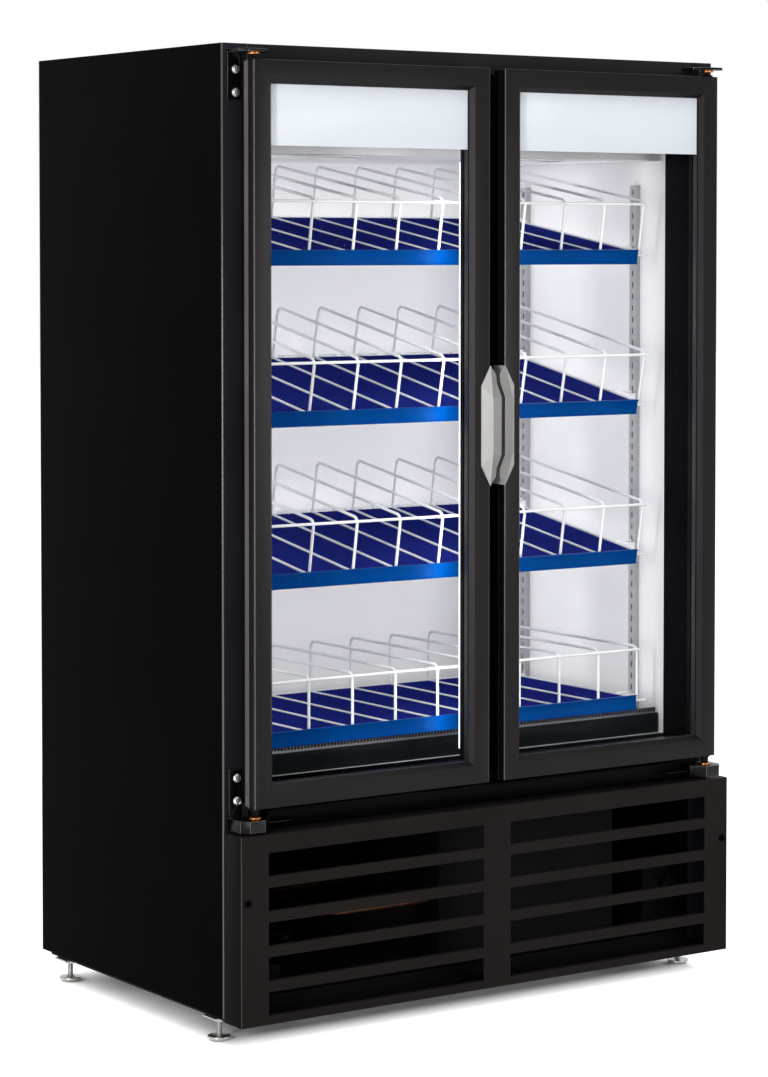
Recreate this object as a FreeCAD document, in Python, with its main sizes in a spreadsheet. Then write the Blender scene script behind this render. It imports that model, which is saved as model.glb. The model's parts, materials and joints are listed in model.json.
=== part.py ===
import FreeCAD, Part
import math
import os
import re
import Sketcher
from FreeCAD import Placement, Rotation, Vector

# Two-door glass-front merchandiser refrigerator, millimetres.
# +Z is up, the doors face -Y, and the origin is on the floor under the middle of the whole object.

doc = FreeCAD.newDocument("merchandiser")
sheet = doc.addObject("Spreadsheet::Sheet", "dims")

cabinet_sizes = {
    "width": 1240,
    "depth": 746,
    "shell_height": 1910,
    "foot_height": 59,
    "panel_sheet": 1.5,
    "side_fold": 58,
    "fold_radius": 3.5,
    "header_fold": 193,
    "side_wall": 60,
    "roof_wall": 60,
    "back_wall": 70,
    "floor_height": 510,
    "floor_wall": 70,
    "liner_sheet": 2,
    "breaker_depth": 83,
    "mullion_half": 45,
    "mullion_plate": 6,
    "mullion_core_half": 20,
    "mullion_core_depth": 34,
    "light_depth": 8,
    "light_chamfer": 4,
    "light_end_gap": 30,
    "sill_gap": 9,
    "sill_depth": 16,
    "sill_lift": 3.5,
    "sill_drop": 5,
    "sill_radius": 13,
}
base_sizes = {
    "rail_inset": 14,
    "rail_width": 40,
    "rail_height": 40,
    "rail_drop": 10,
    "pan_sheet": 2,
    "foot_inset": 30,
    "foot_front": 66,
    "foot_rear": 69,
    "foot_radius": 23.5,
    "foot_sole": 18,
    "foot_taper": 5.5,
    "foot_rim": 3,
    "foot_nut_radius": 11,
    "foot_nut_height": 8,
    "stud_radius": 5,
    "stud_rise": 30,
    "bracket_half": 24,
    "bracket_sheet": 3,
    "run_clear": 0.05,
}
grille_sizes = {
    "grille_inset": 1.7,
    "grille_depth": 64,
    "grille_drop": 7,
    "grille_head": 83.5,
    "slot_inner": 34,
    "slot_end": 63.3,
    "slot_bar": 21.6,
    "slot_foot": 17.1,
    "slot_margin": 36,
    "slot_lip": 12,
    "slot_rows": 5,
    "screw_inset": 15.3,
    "screw_rise": 244,
    "screw_shank": 3,
    "screw_head_radius": 7,
    "screw_head_height": 3,
    "louvre_length": 240,
    "louvre_height": 10,
    "louvre_pitch": 32,
    "louvre_margin": 60,
    "louvre_shift": 10,
    "louvre_rows": 8,
}
door_sizes = {
    "door_gap": 22,
    "door_depth": 39.6,
    "door_edge": 35,
    "meeting_half": 18.9,
    "door_drop": 33,
    "door_head": 33,
    "frame_face": 37,
    "bevel_width": 9,
    "bevel_depth": 10,
    "step_inset": 2,
    "step_depth": 15,
    "glass_bite": 8,
    "glass_clear": 0.5,
    "pane": 4,
    "pane_gap": 12,
    "sign_height": 119.5,
    "sign_sheet": 2,
    "sign_clear": 0.3,
    "gasket_inset": 8,
    "gasket_width": 16,
    "gasket_waist": 3,
    "gasket_clear": 0.5,
    "handle_height": 1208.7,
    "handle_reach": 22,
    "handle_sheet": 2.5,
    "handle_flange": 36,
    "handle_tip": 122,
    "handle_shoulder": 81.5,
    "handle_shoulder_across": 22.4,
    "handle_crease": 56,
    "handle_crease_across": 6,
    "handle_crease_reach": 20.5,
    "handle_lip": 58.5,
    "handle_lip_across": 13.7,
    "handle_ear": 88,
    "handle_ear_reach": 5,
    "handle_end": 104,
    "handle_end_reach": 3,
}
hinge_sizes = {
    "pin_inset": 12,
    "pin_radius": 5,
    "pin_disc_radius": 11,
    "pin_disc": 4,
    "pin_rise": 6,
    "bush_radius": 8,
    "bush_flange_radius": 12,
    "bush_flange": 5,
    "arm_outer": 10,
    "arm_inner": 83,
    "arm_over": 0.4,
    "arm_corner": 14,
    "arm_taper": 24,
    "arm_thick": 5,
    "top_arm_gap": 15,
    "bottom_arm_gap": 22,
    "bottom_block": 23,
    "hinge_plate": 4,
    "plate_outer": 11,
    "plate_width": 28,
    "top_plate_drop": 92,
    "bottom_plate_rise": 95,
    "bolt_inset": 29.5,
    "bolt_near": 33,
    "bolt_far": 78,
    "bolt_shank": 4,
    "bolt_hole_clear": 0.3,
    "bolt_head_radius": 8,
    "bolt_head_height": 5,
    "closer_radius": 2.5,
    "closer_length": 58,
    "closer_stand": 30,
    "closer_drop": 12,
    "closer_bend": 8,
}
shelf_sizes = {
    "standard_depth": 12,
    "standard_width": 22,
    "standard_sheet": 1.5,
    "standard_front": 179,
    "standard_back": 98,
    "standard_foot": 45,
    "standard_head": 52,
    "standard_slot_height": 12,
    "standard_slot_width": 4,
    "standard_slot_pitch": 25.4,
    "standard_slot_margin": 14,
    "shelf_front": 68,
    "deck_head_gap": 8.2,
    "deck_ratio_2": 0.6654,
    "deck_ratio_3": 0.3294,
    "deck_foot_gap": 33.5,
    "deck_angle_1": 9.2,
    "deck_angle_2": 11.4,
    "deck_angle_3": 9.4,
    "deck_angle_4": 0,
    "deck_wire": 5,
    "deck_clear": 2,
    "deck_front_end": 22,
    "deck_bar_lag": 4,
    "lanes": 9,
    "lane_margin": 68.1,
    "lane_support": 18,
    "clip_length": 18,
    "clip_thick": 4,
    "clip_web": 3,
    "clip_web_drop": 16,
    "clip_clear": 0.1,
    "divider_wire": 3,
    "divider_runner": 2.5,
    "divider_lift": 0.4,
    "divider_height": 118,
    "divider_front": 6,
    "divider_end": 27,
    "divider_bend": 14,
    "divider_bar_drop": 9,
    "divider_clear": 0.1,
    "glide_gap": 8.2,
    "glide_front": 2,
    "glide_end": 30,
    "glide_base": 1.8,
    "glide_rib": 1.2,
    "glide_ribs": 16,
    "rail_end": 7.9,
    "rail_plate": 2.5,
    "rail_lip": 2.5,
    "rail_lip_height": 3,
    "rail_above": 15.5,
    "rail_below": 16,
    "duct_clear": 5,
    "duct_front": 95,
    "duct_back": 36,
    "duct_height": 43,
    "duct_sheet": 2,
    "duct_slot_length": 10,
    "duct_slot_width": 5,
    "duct_slot_pitch": 18,
    "duct_slot_setback": 14,
    "duct_slot_end": 20,
}
cooling_sizes = {
    "cover_drop": 149,
    "cover_front": 95,
    "cover_sheet": 1.5,
    "cover_clear": 2,
    "coil_side": 110,
    "fan_bay": 295,
    "coil_back": 76,
    "coil_lift": 30,
    "coil_head": 24,
    "coil_plate": 3,
    "fan_side": 300,
    "fan_setback": 140,
    "fan_opening": 106,
    "fan_radius": 94,
    "fan_hub_radius": 26,
    "fan_hub_height": 22,
    "fan_blade": 2.5,
    "fan_blade_angle": 28,
    "fan_blades": 5,
    "fan_lift": 14,
    "fan_gap": 3,
    "shaft_radius": 4,
    "shaft_grip": 12,
    "motor_radius": 38,
    "motor_length": 46,
    "motor_post": 12,
}
machine_sizes = {
    "compressor_side": 320,
    "compressor_rear": 246,
    "compressor_radius": 92,
    "compressor_height": 190,
    "compressor_round": 38,
    "compressor_foot_half": 104,
    "compressor_foot_sheet": 4,
    "grommet_radius": 13,
    "grommet_height": 14,
    "grommet_inset": 18,
    "port_radius": 9,
    "port_length": 12,
    "discharge_height": 120,
    "suction_height": 88,
    "condenser_width": 460,
    "condenser_side": 60,
    "condenser_front": 60,
    "condenser_thick": 80,
    "condenser_head": 49,
    "condenser_plate": 3,
    "shroud_sheet": 2,
    "shroud_rim": 18,
    "cond_fan_clear": 10,
    "cond_fan_gap": 6,
    "cond_motor_radius": 45,
    "cond_motor_length": 62,
    "pedestal_half": 20,
    "pipe_radius": 5,
    "pipe_bend": 20,
    "pipe_clear": 0.3,
    "pipe_wall_depth": 34,
    "suction_side": 55,
    "suction_lift": 85,
    "liquid_side": 28,
    "liquid_lift": 55,
    "liquid_height": 40,
    "chase_half": 30,
    "box_width": 130,
    "box_side": 30,
    "box_front": 30,
    "box_depth": 100,
    "box_height": 150,
    "knob_height": 100,
    "knob_radius": 18,
    "knob_length": 14,
    "knob_shaft": 3,
    "knob_shaft_length": 10,
    "knob_mark_width": 3,
    "knob_mark_depth": 2,
    "tray_side": 20,
    "tray_width": 170,
    "tray_front": 90,
    "tray_rear": 340,
    "tray_height": 36,
    "tray_sheet": 2,
    "gland_side": 140,
    "gland_height": 150,
    "gland_radius": 12,
    "gland_flange_radius": 17,
    "gland_flange": 6,
    "gland_length": 24,
    "gland_bore": 5,
}

# Places that follow from the sizes above

worked_out = {
    "bay_top": "floor_height - floor_wall",
    "roof_height": "foot_height + shell_height - roof_wall",
    "back_depth": "depth - back_wall",
    "wall_half": "width/2 - side_wall",
    "base_height": "foot_height - rail_drop + rail_height + pan_sheet",
    "grille_half": "width/2 - grille_inset",
    "grille_bottom": "foot_height - grille_drop",
    "grille_top": "floor_height - grille_head",
    "slot_room": "grille_top - grille_bottom - slot_margin - slot_foot",
    "slot_height": "(slot_room - (slot_rows - 1)*slot_bar)/slot_rows",
    "slot_pitch": "slot_height + slot_bar",
    "slot_outer": "grille_half - slot_end",
    "screw_across": "grille_half - screw_inset",
    "screw_height": "grille_bottom + screw_rise",
    "louvre_centre": "width/4 - louvre_shift",
    "door_bottom": "floor_height - door_drop",
    "door_top": "foot_height + shell_height - door_head",
    "arm_reach": "door_gap + door_depth + arm_over",
    "top_arm_height": "door_top + top_arm_gap",
    "bottom_block_top": "door_bottom - bottom_arm_gap",
    "sill_half": "width/2 - arm_inner - sill_gap",
    "sill_bottom": "grille_top + sill_lift",
    "sill_top": "door_bottom - sill_drop",
    "cover_height": "roof_height - cover_drop",
    "standard_rear": "back_depth - standard_back",
    "standard_bottom": "floor_height + standard_foot",
    "standard_top": "cover_height - standard_head",
    "deck_bar_front": "standard_front - shelf_front",
    "deck_bar_rear": "standard_rear - shelf_front + deck_bar_lag",
    "deck_bar_middle": "(deck_bar_front + deck_bar_rear)/2",
    "lane_pitch": "2*(wall_half - standard_depth - deck_clear - lane_margin)/lanes",
    "divider_rear": "deck_bar_rear - divider_end",
    "divider_crown": "(deck_wire + divider_height)*cos(deck_angle_1)",
    "divider_climb": "(divider_rear + divider_wire)*sin(deck_angle_1)",
    "deck_front_1": "cover_height - deck_head_gap - divider_crown - divider_climb",
    "deck_front_4": "floor_height + duct_height + deck_foot_gap",
    "deck_front_2": "deck_front_4 + deck_ratio_2*(deck_front_1 - deck_front_4)",
    "deck_front_3": "deck_front_4 + deck_ratio_3*(deck_front_1 - deck_front_4)",
    "glide_width": "lane_pitch - glide_gap",
    "glide_rear": "deck_bar_rear - glide_end",
    "rail_half": "lanes*lane_pitch/2 - rail_end",
    "duct_rear": "back_depth - duct_back",
    "coil_half": "wall_half - coil_side",
    "coil_front": "cover_front + fan_bay",
    "coil_rear": "back_depth - coil_back",
    "coil_bottom": "cover_height + coil_lift",
    "coil_top": "roof_height - coil_head",
    "fan_across": "wall_half - fan_side",
    "fan_back": "cover_front + fan_setback",
    "compressor_across": "compressor_side - width/2",
    "compressor_back": "depth - compressor_rear",
    "box_right": "width/2 - box_side",
    "box_left": "box_right - box_width",
    "knob_across": "(box_left + box_right)/2",
    "condenser_right": "box_left - condenser_side",
    "condenser_left": "condenser_right - condenser_width",
    "condenser_height": "bay_top - base_height - condenser_head",
    "shroud_opening": "condenser_height/2 - shroud_rim",
    "cond_fan_radius": "shroud_opening - cond_fan_clear",
    "pipe_wall_back": "depth - pipe_wall_depth",
    "suction_across": "box_left - suction_side",
    "suction_top": "cover_height + suction_lift",
    "liquid_across": "box_left - liquid_side",
    "liquid_top": "cover_height + liquid_lift",
    "tray_left": "tray_side - width/2",
    "tray_right": "tray_left + tray_width",
    "gland_across": "width/2 - gland_side",
}

groups = (cabinet_sizes, base_sizes, grille_sizes, door_sizes, hinge_sizes, shelf_sizes, cooling_sizes,
          machine_sizes)
row = 0
for sizes in groups:
    for alias, value in sizes.items():
        row += 1
        sheet.set(f"A{row}", alias)
        sheet.set(f"B{row}", str(value))
        sheet.setAlias(f"B{row}", alias)
doc.recompute()
for alias, formula in worked_out.items():
    row += 1
    sheet.set(f"A{row}", alias)
    sheet.set(f"B{row}", "=" + formula)
    sheet.setAlias(f"B{row}", alias)
    doc.recompute()

nodes = []
sides = {"left": -1, "right": 1}
turns = {
    "x": Rotation(Vector(0, 1, 0), 90),
    "y": Rotation(Vector(1, 0, 0), -90),
    "z": Rotation(),
}


# Expressions in sheet sizes

def link(text):
    return re.sub(r"[a-z]\w*", lambda word: "dims." + word.group(0), str(text))


def num(text):
    return float(sheet.evalExpression(link(text)))


def back(text):
    return f"({face}) + ({text})"


def front(text):
    return f"({face}) - ({text})"


def across(sign, near, far):
    if sign > 0:
        return (near, far)
    return (f"-({far})", f"-({near})")


def both(half):
    return (f"-({half})", half)


# Document objects bound to the sheet

def place(piece, spot):
    for letter, text in zip("xyz", spot):
        piece.setExpression("Placement.Base." + letter, link(text))
    return piece


def block(name, x, y, z):
    piece = doc.addObject("Part::Box", name)
    for size, (low, high) in zip(("Length", "Width", "Height"), (x, y, z)):
        piece.setExpression(size, link(f"({high}) - ({low})"))
    return place(piece, (x[0], y[0], z[0]))


def rod(name, start, radius, length, axis="z"):
    piece = doc.addObject("Part::Cylinder", name)
    piece.setExpression("Radius", link(radius))
    piece.setExpression("Height", link(length))
    piece.Placement = Placement(Vector(), turns[axis])
    return place(piece, start)


def hexagon(name, start, radius, length, axis="z"):
    piece = doc.addObject("Part::Prism", name)
    piece.Polygon = 6
    piece.setExpression("Circumradius", link(radius))
    piece.setExpression("Height", link(length))
    piece.Placement = Placement(Vector(), turns[axis])
    return place(piece, start)


def cut(name, base, tools):
    tool = tools[0]
    if len(tools) > 1:
        tool = group(name + "_tools", tools)
    piece = doc.addObject("Part::Cut", name)
    piece.Base = base
    piece.Tool = tool
    return piece


def fuse(name, pieces):
    piece = doc.addObject("Part::MultiFuse", name)
    piece.Shapes = pieces
    piece.Refine = True
    return piece


def group(name, pieces):
    piece = doc.addObject("Part::Compound", name)
    piece.Links = pieces
    return piece


def sketch_in(body, role, points):
    sketch = body.newObject("Sketcher::SketchObject", body.Name + "_outline")
    plane = [origin for origin in body.Origin.OriginFeatures if origin.Role == role][0]
    sketch.AttachmentSupport = [(plane, "")]
    sketch.MapMode = "FlatFace"
    places = [Vector(num(h), num(v), 0) for h, v in points]
    for index, spot in enumerate(places):
        sketch.addGeometry(Part.LineSegment(spot, places[(index + 1) % len(places)]))
    for index, (h, v) in enumerate(points):
        sketch.addConstraint(Sketcher.Constraint("Coincident", index, 2, (index + 1) % len(points), 1))
        for letter, text, value in (("X", h, places[index].x), ("Y", v, places[index].y)):
            rule = Sketcher.Constraint("Distance" + letter, -1, 1, index, 1, value)
            number = sketch.addConstraint(rule)
            sketch.setExpression(f"Constraints[{number}]", link(text))
    return sketch


def padded(name, role, points, start, length):
    body = doc.addObject("PartDesign::Body", name)
    sketch = sketch_in(body, role, points)
    sketch.setExpression("AttachmentOffset.Base.z", link(start))
    pad = body.newObject("PartDesign::Pad", name + "_pad")
    pad.Profile = sketch
    pad.setExpression("Length", link(length))
    return body


def clipped_plate(name, half, y, z):
    clip = "fold_radius - panel_sheet"
    start = f"{y[0]} + {clip}"
    outline = [(f"-({half})", start), (f"-({half}) + {clip}", y[0]), (f"({half}) - ({clip})", y[0]),
               (half, start), (half, y[1]), (f"-({half})", y[1])]
    return padded(name, "XY_Plane", outline, z[0], f"({z[1]}) - ({z[0]})")


def turned(name, points, spot):
    body = doc.addObject("PartDesign::Body", name)
    sketch = sketch_in(body, "XZ_Plane", points)
    turn = body.newObject("PartDesign::Revolution", name + "_turn")
    turn.Profile = sketch
    turn.ReferenceAxis = (sketch, ["V_Axis"])
    turn.Angle = 360
    return place(body, spot)


def rounded(body, letters, spot, radius):
    doc.recompute()
    base = body.Tip
    first, second = letters
    names = []
    for index, edge in enumerate(base.Shape.Edges, start=1):
        middle = edge.CenterOfMass
        off = (getattr(middle, first) - num(spot[0]), getattr(middle, second) - num(spot[1]))
        if max(abs(off[0]), abs(off[1])) < touch:
            names.append(f"Edge{index}")
    fillet = body.newObject("PartDesign::Fillet", body.Name + "_round")
    fillet.Base = (base, names)
    fillet.setExpression("Radius", link(radius))
    body.Tip = fillet
    return body


def feature(name, shape, placement=Placement()):
    piece = doc.addObject("Part::Feature", name)
    piece.Shape = shape
    piece.Placement = placement
    return piece


def finish(*pieces):
    nodes.extend(pieces)


# Shapes worked out from sheet numbers

def solid_of(faces):
    return Part.makeSolid(Part.makeShell([Part.Face(Part.makePolygon(loop + loop[:1])) for loop in faces]))


def mitred_bars(profile, x, z):
    low = Vector(x[0], 0, z[0])
    high = Vector(x[1], 0, z[1])
    corners = [Vector(low.x, 0, low.z), Vector(high.x, 0, low.z), Vector(high.x, 0, high.z),
               Vector(low.x, 0, high.z)]
    inward = [Vector(1, 0, 1), Vector(-1, 0, 1), Vector(-1, 0, -1), Vector(1, 0, -1)]
    bars = []
    for side in range(4):
        other = (side + 1) % 4
        start = [corners[side] + inward[side] * inset + Vector(0, y, 0) for inset, y in profile]
        end = [corners[other] + inward[other] * inset + Vector(0, y, 0) for inset, y in profile]
        faces = [start, end]
        for index in range(len(profile)):
            follower = (index + 1) % len(profile)
            faces.append([start[index], start[follower], end[follower], end[index]])
        bars.append(solid_of(faces))
    return bars


def bent_wire(points, radius, bend):
    edges = []
    last = points[0]
    for before, corner, after in zip(points, points[1:], points[2:]):
        to_before = (before - corner).normalize()
        to_after = (after - corner).normalize()
        half = to_before.getAngle(to_after) / 2
        reach = bend / math.tan(half)
        start = corner + to_before * reach
        end = corner + to_after * reach
        middle_way = (to_before + to_after).normalize()
        middle = corner + middle_way * (bend / math.sin(half) - bend)
        edges.append(Part.LineSegment(last, start).toShape())
        edges.append(Part.Arc(start, middle, end).toShape())
        last = end
    edges.append(Part.LineSegment(last, points[-1]).toShape())
    path = Part.Wire(edges)
    circle = Part.Circle(points[0], points[1] - points[0], radius)
    return path.makePipeShell([Part.Wire(circle.toShape())], True, False)


def array(shape, spots):
    return [shape.translated(spot) for spot in spots]


# Shared lines of the whole object

touch = 1e-6
face = "(door_gap + door_depth + handle_reach - depth)/2"
half_width = "width/2"
top = "(foot_height + shell_height)"
rear = back("depth")
skin_half = "(width/2 - panel_sheet)"
cavity_half = "wall_half"
liner_half = "(wall_half + liner_sheet)"
cavity_back = "back_depth"
cavity_top = "roof_height"
header_bottom = "(foot_height + shell_height - header_fold)"
rail_bottom = "(foot_height - rail_drop)"
rail_top = "(foot_height - rail_drop + rail_height)"
pan_top = "base_height"

# Outer panels

for side, sign in sides.items():
    outer = f"{sign}*width/2"
    inner = f"{sign}*{skin_half}"
    fold = f"{sign}*(width/2 - side_fold)"
    panel_end = back("depth - panel_sheet")
    panel = padded(f"{side}_side_panel", "XY_Plane",
                   [(outer, face), (outer, panel_end), (inner, panel_end), (inner, back("panel_sheet")),
                    (fold, back("panel_sheet")), (fold, face)],
                   "foot_height", "shell_height")
    rounded(panel, "xy", (inner, back("panel_sheet")), "fold_radius - panel_sheet")
    rounded(panel, "xy", (outer, face), "fold_radius")
    finish(panel)

skin_y = (back("panel_sheet"), back("depth - panel_sheet"))
top_sheet = clipped_plate("top_sheet", skin_half, skin_y, (f"{top} - panel_sheet", top))
header_sheet = block("header_sheet", both("width/2 - side_fold"), (face, back("panel_sheet")),
                     (header_bottom, top))
finish(fuse("top_panel", [top_sheet, header_sheet]))
finish(block("rear_panel", both(half_width), (back("depth - panel_sheet"), rear), ("bay_top", top)))

# Machine bay cover with louvre slots and the hole for the mains gland

cover_y = (back("depth - panel_sheet"), rear)
bay_sheet = block("bay_sheet", both(half_width), cover_y, ("foot_height", "bay_top"))
openings = []
for level in range(int(num("louvre_rows"))):
    slot_top = f"bay_top - louvre_margin - {level}*louvre_pitch"
    for side, sign in sides.items():
        slot_x = across(sign, "louvre_centre - louvre_length/2", "louvre_centre + louvre_length/2")
        slot_z = (f"{slot_top} - louvre_height", slot_top)
        openings.append(block(f"louvre_{side}_{level}", slot_x, cover_y, slot_z))
gland_z = "foot_height + gland_height - louvre_margin"
openings.append(rod("gland_hole", ("gland_across", cover_y[0], gland_z), "gland_radius + run_clear",
                    "panel_sheet", "y"))
finish(cut("machine_bay_cover", bay_sheet, openings))

# Mains gland seated behind the cover, its mouth flush with the outside

gland_start = back("depth - gland_length")
gland_flange = rod("gland_flange_disc", ("gland_across", back("depth - panel_sheet - gland_flange"), gland_z),
                   "gland_flange_radius", "gland_flange", "y")
gland_spot = ("gland_across", gland_start, gland_z)
gland_sleeve = rod("gland_sleeve", gland_spot, "gland_radius", "gland_length", "y")
gland_bore = rod("gland_bore_hole", gland_spot, "gland_bore", "gland_length", "y")
finish(cut("mains_gland", fuse("gland_body", [gland_flange, gland_sleeve]), [gland_bore]))

# Insulated cavity: foam, liner sheets and breaker strips

pipe_hole = "pipe_radius + pipe_clear"
pipe_holes = []
for name, pipe_x, pipe_z in (("suction", "suction_across", "suction_top"),
                             ("liquid", "liquid_across", "liquid_top")):
    pipe_holes.append(rod(name + "_hole", (pipe_x, back(cavity_back), pipe_z), pipe_hole,
                          "pipe_wall_back - back_depth", "y"))
chase = block("pipe_chase", ("suction_across - chase_half", "liquid_across + chase_half"),
              (back("pipe_wall_back - chase_half/2"), back("depth - panel_sheet")),
              ("bay_top", "suction_top + chase_half"))
hollow_y = (back("panel_sheet"), back(f"{cavity_back} + liner_sheet"))
foam_hollow = block("foam_hollow", both(liner_half), hollow_y,
                    ("floor_height - liner_sheet", f"{cavity_top} + liner_sheet"))
foam_block = clipped_plate("foam_block", skin_half, skin_y, ("bay_top", f"{top} - panel_sheet"))
foam_tub = cut("foam_tub", foam_block, [foam_hollow])
foam_chased = cut("foam_chased", foam_tub, [chase])
finish(cut("foam_insulation", foam_chased, pipe_holes))

liner_y = (back("breaker_depth"), back(cavity_back))
liner_z = ("floor_height", cavity_top)
sheets = []
for side, sign in sides.items():
    sheets.append(block(f"liner_{side}", across(sign, cavity_half, liner_half), liner_y, liner_z))
liner_back_y = (back(cavity_back), back(f"{cavity_back} + liner_sheet"))
liner_end_z = ("floor_height - liner_sheet", f"{cavity_top} + liner_sheet")
liner_back = block("liner_back_sheet", both(liner_half), liner_back_y, liner_end_z)
sheets.append(cut("liner_back", liner_back, pipe_holes))
floor_z = ("floor_height - liner_sheet", "floor_height")
roof_z = (cavity_top, f"{cavity_top} + liner_sheet")
sheets.append(block("liner_floor", both(liner_half), liner_y, floor_z))
sheets.append(block("liner_roof", both(liner_half), liner_y, roof_z))
finish(group("liner", sheets))

breaker_y = (back("panel_sheet"), back("breaker_depth"))
strips = []
for side, sign in sides.items():
    strips.append(block(f"breaker_{side}", across(sign, cavity_half, liner_half), breaker_y, liner_z))
strips.append(block("breaker_floor", both(liner_half), breaker_y, floor_z))
strips.append(block("breaker_roof", both(liner_half), breaker_y, roof_z))
finish(group("breaker_strips", strips))

# Centre mullion and its light bars

mullion_z = ("floor_height", header_bottom)
mullion_back = back("mullion_plate + mullion_core_depth")
mullion_face = block("mullion_face", both("mullion_half"), (face, back("mullion_plate")), mullion_z)
mullion_core = block("mullion_core", both("mullion_core_half"), (back("mullion_plate"), mullion_back),
                     mullion_z)
finish(fuse("mullion", [mullion_face, mullion_core]))

bars = []
for side, sign in sides.items():
    near = f"{sign}*mullion_core_half"
    far = f"{sign}*mullion_half"
    far_cut = f"{sign}*(mullion_half - light_chamfer)"
    light_back = back("mullion_plate + light_depth")
    bars.append(padded(f"light_bar_{side}", "XY_Plane",
                       [(near, back("mullion_plate")), (far, back("mullion_plate")),
                        (far, back("mullion_plate + light_depth - light_chamfer")), (far_cut, light_back),
                        (near, light_back)],
                       "floor_height + light_end_gap", f"{header_bottom} - floor_height - 2*light_end_gap"))
finish(group("light_bars", bars))

# Sill under the doors: flat plate with a rounded nose

sill_plate = block("sill_plate", both("width/2 - side_fold"), (face, back("panel_sheet")),
                   ("grille_top", "floor_height - liner_sheet"))
nose_front = front("sill_depth")
sill_nose = padded("sill_nose", "YZ_Plane",
                   [(nose_front, "sill_bottom"), (face, "sill_bottom"), (face, "sill_top"),
                    (nose_front, "sill_top")],
                   "-sill_half", "2*sill_half")
rounded(sill_nose, "yz", (nose_front, "sill_top"), "sill_radius")
finish(fuse("sill_rail", [sill_plate, sill_nose]))

# Base frame with its pan, foot brackets and levelling feet

foot_places = {}
for side, sign in sides.items():
    foot_places[f"front_{side}"] = (f"{sign}*(width/2 - foot_inset)", back("foot_front"))
    foot_places[f"rear_{side}"] = (f"{sign}*(width/2 - foot_inset)", back("depth - foot_rear"))

rail_y = (back("rail_inset"), back("depth - rail_inset"))
rail_outer = "width/2 - rail_inset"
rail_inner = "width/2 - rail_inset - rail_width"
tubes = []
for side, sign in sides.items():
    rail = block(f"base_rail_{side}", across(sign, rail_inner, rail_outer), rail_y, (rail_bottom, rail_top))
    holes = []
    for end in ("front", "rear"):
        foot_x, foot_y = foot_places[f"{end}_{side}"]
        holes.append(rod(f"stud_hole_{end}_{side}", (foot_x, foot_y, rail_bottom), "stud_radius + run_clear",
                         "rail_height"))
    tubes.append(cut(f"base_side_{side}", rail, holes))
tubes.append(block("base_front", both(rail_inner), (back("rail_inset"), back("rail_inset + rail_width")),
                   (rail_bottom, rail_top)))
rear_y = (back("depth - rail_inset - rail_width"), back("depth - rail_inset"))
tubes.append(block("base_rear", both(rail_inner), rear_y, (rail_bottom, rail_top)))
tubes.append(clipped_plate("base_pan", skin_half, skin_y, (rail_top, pan_top)))
finish(group("base_frame", tubes))

bracket_bottom = "(foot_height - rail_drop - bracket_sheet)"
brackets = []
for corner, (foot_x, foot_y) in foot_places.items():
    plate = block(f"foot_plate_{corner}", (f"{foot_x} - bracket_half", f"{foot_x} + bracket_half"),
                  (f"{foot_y} - bracket_half", f"{foot_y} + bracket_half"), (bracket_bottom, rail_bottom))
    hole = rod(f"foot_plate_hole_{corner}", (foot_x, foot_y, bracket_bottom), "stud_radius + run_clear",
               "bracket_sheet")
    brackets.append(cut(f"foot_bracket_{corner}", plate, [hole]))
finish(group("foot_brackets", brackets))

for corner, (foot_x, foot_y) in foot_places.items():
    sole = doc.addObject("Part::Cone", f"foot_sole_{corner}")
    sole.setExpression("Radius1", link("foot_sole"))
    sole.setExpression("Radius2", link("foot_radius"))
    sole.setExpression("Height", link("foot_taper"))
    place(sole, (foot_x, foot_y, "0"))
    rim = rod(f"foot_rim_{corner}", (foot_x, foot_y, "foot_taper"), "foot_radius", "foot_rim")
    stud = rod(f"foot_stud_{corner}", (foot_x, foot_y, "foot_taper + foot_rim"), "stud_radius",
               f"{rail_bottom} + stud_rise - foot_taper - foot_rim")
    nut = hexagon(f"foot_nut_{corner}", (foot_x, foot_y, f"{bracket_bottom} - foot_nut_height"),
                  "foot_nut_radius", "foot_nut_height")
    finish(fuse(f"foot_{corner}", [sole, rim, stud, nut]))

# Slotted lower front panel

grille_y = (front("grille_depth"), face)
grille_box = block("grille_box", both("grille_half"), grille_y, ("grille_bottom", "grille_top"))
grille_inside = block("grille_inside", both("grille_half - panel_sheet"),
                      (front("grille_depth - panel_sheet"), back("panel_sheet")),
                      ("grille_bottom + panel_sheet", "grille_top - panel_sheet"))
grille_pan = cut("grille_pan", grille_box, [grille_inside])
slots = []
lips = []
slot_y = (front("grille_depth"), front("grille_depth - panel_sheet"))
lip_y = (front("grille_depth"), front("grille_depth - slot_lip"))
for level in range(int(num("slot_rows"))):
    slot_top = f"grille_top - slot_margin - {level}*slot_pitch"
    slot_bottom = f"{slot_top} - slot_height"
    for side, sign in sides.items():
        slot_x = across(sign, "slot_inner", "slot_outer")
        slots.append(block(f"slot_{side}_{level}", slot_x, slot_y, (slot_bottom, slot_top)))
        lip_z = (f"{slot_bottom} - panel_sheet", slot_bottom)
        lips.append(block(f"slot_lip_{side}_{level}", slot_x, lip_y, lip_z))
screw_holes = []
screws = []
for side, sign in sides.items():
    screw_x = f"{sign}*screw_across"
    screw_holes.append(rod(f"screw_hole_{side}", (screw_x, front("grille_depth"), "screw_height"),
                           "screw_shank + run_clear", "panel_sheet", "y"))
    head = rod(f"screw_head_{side}", (screw_x, front("grille_depth + screw_head_height"), "screw_height"),
               "screw_head_radius", "screw_head_height", "y")
    shank = rod(f"screw_shank_{side}", (screw_x, front("grille_depth"), "screw_height"), "screw_shank",
                "grille_depth", "y")
    screws.append(fuse(f"grille_screw_{side}", [head, shank]))
slotted = cut("grille_slotted", grille_pan, slots + screw_holes)
finish(fuse("grille_panel", [slotted] + lips))
finish(group("grille_screws", screws))

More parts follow.
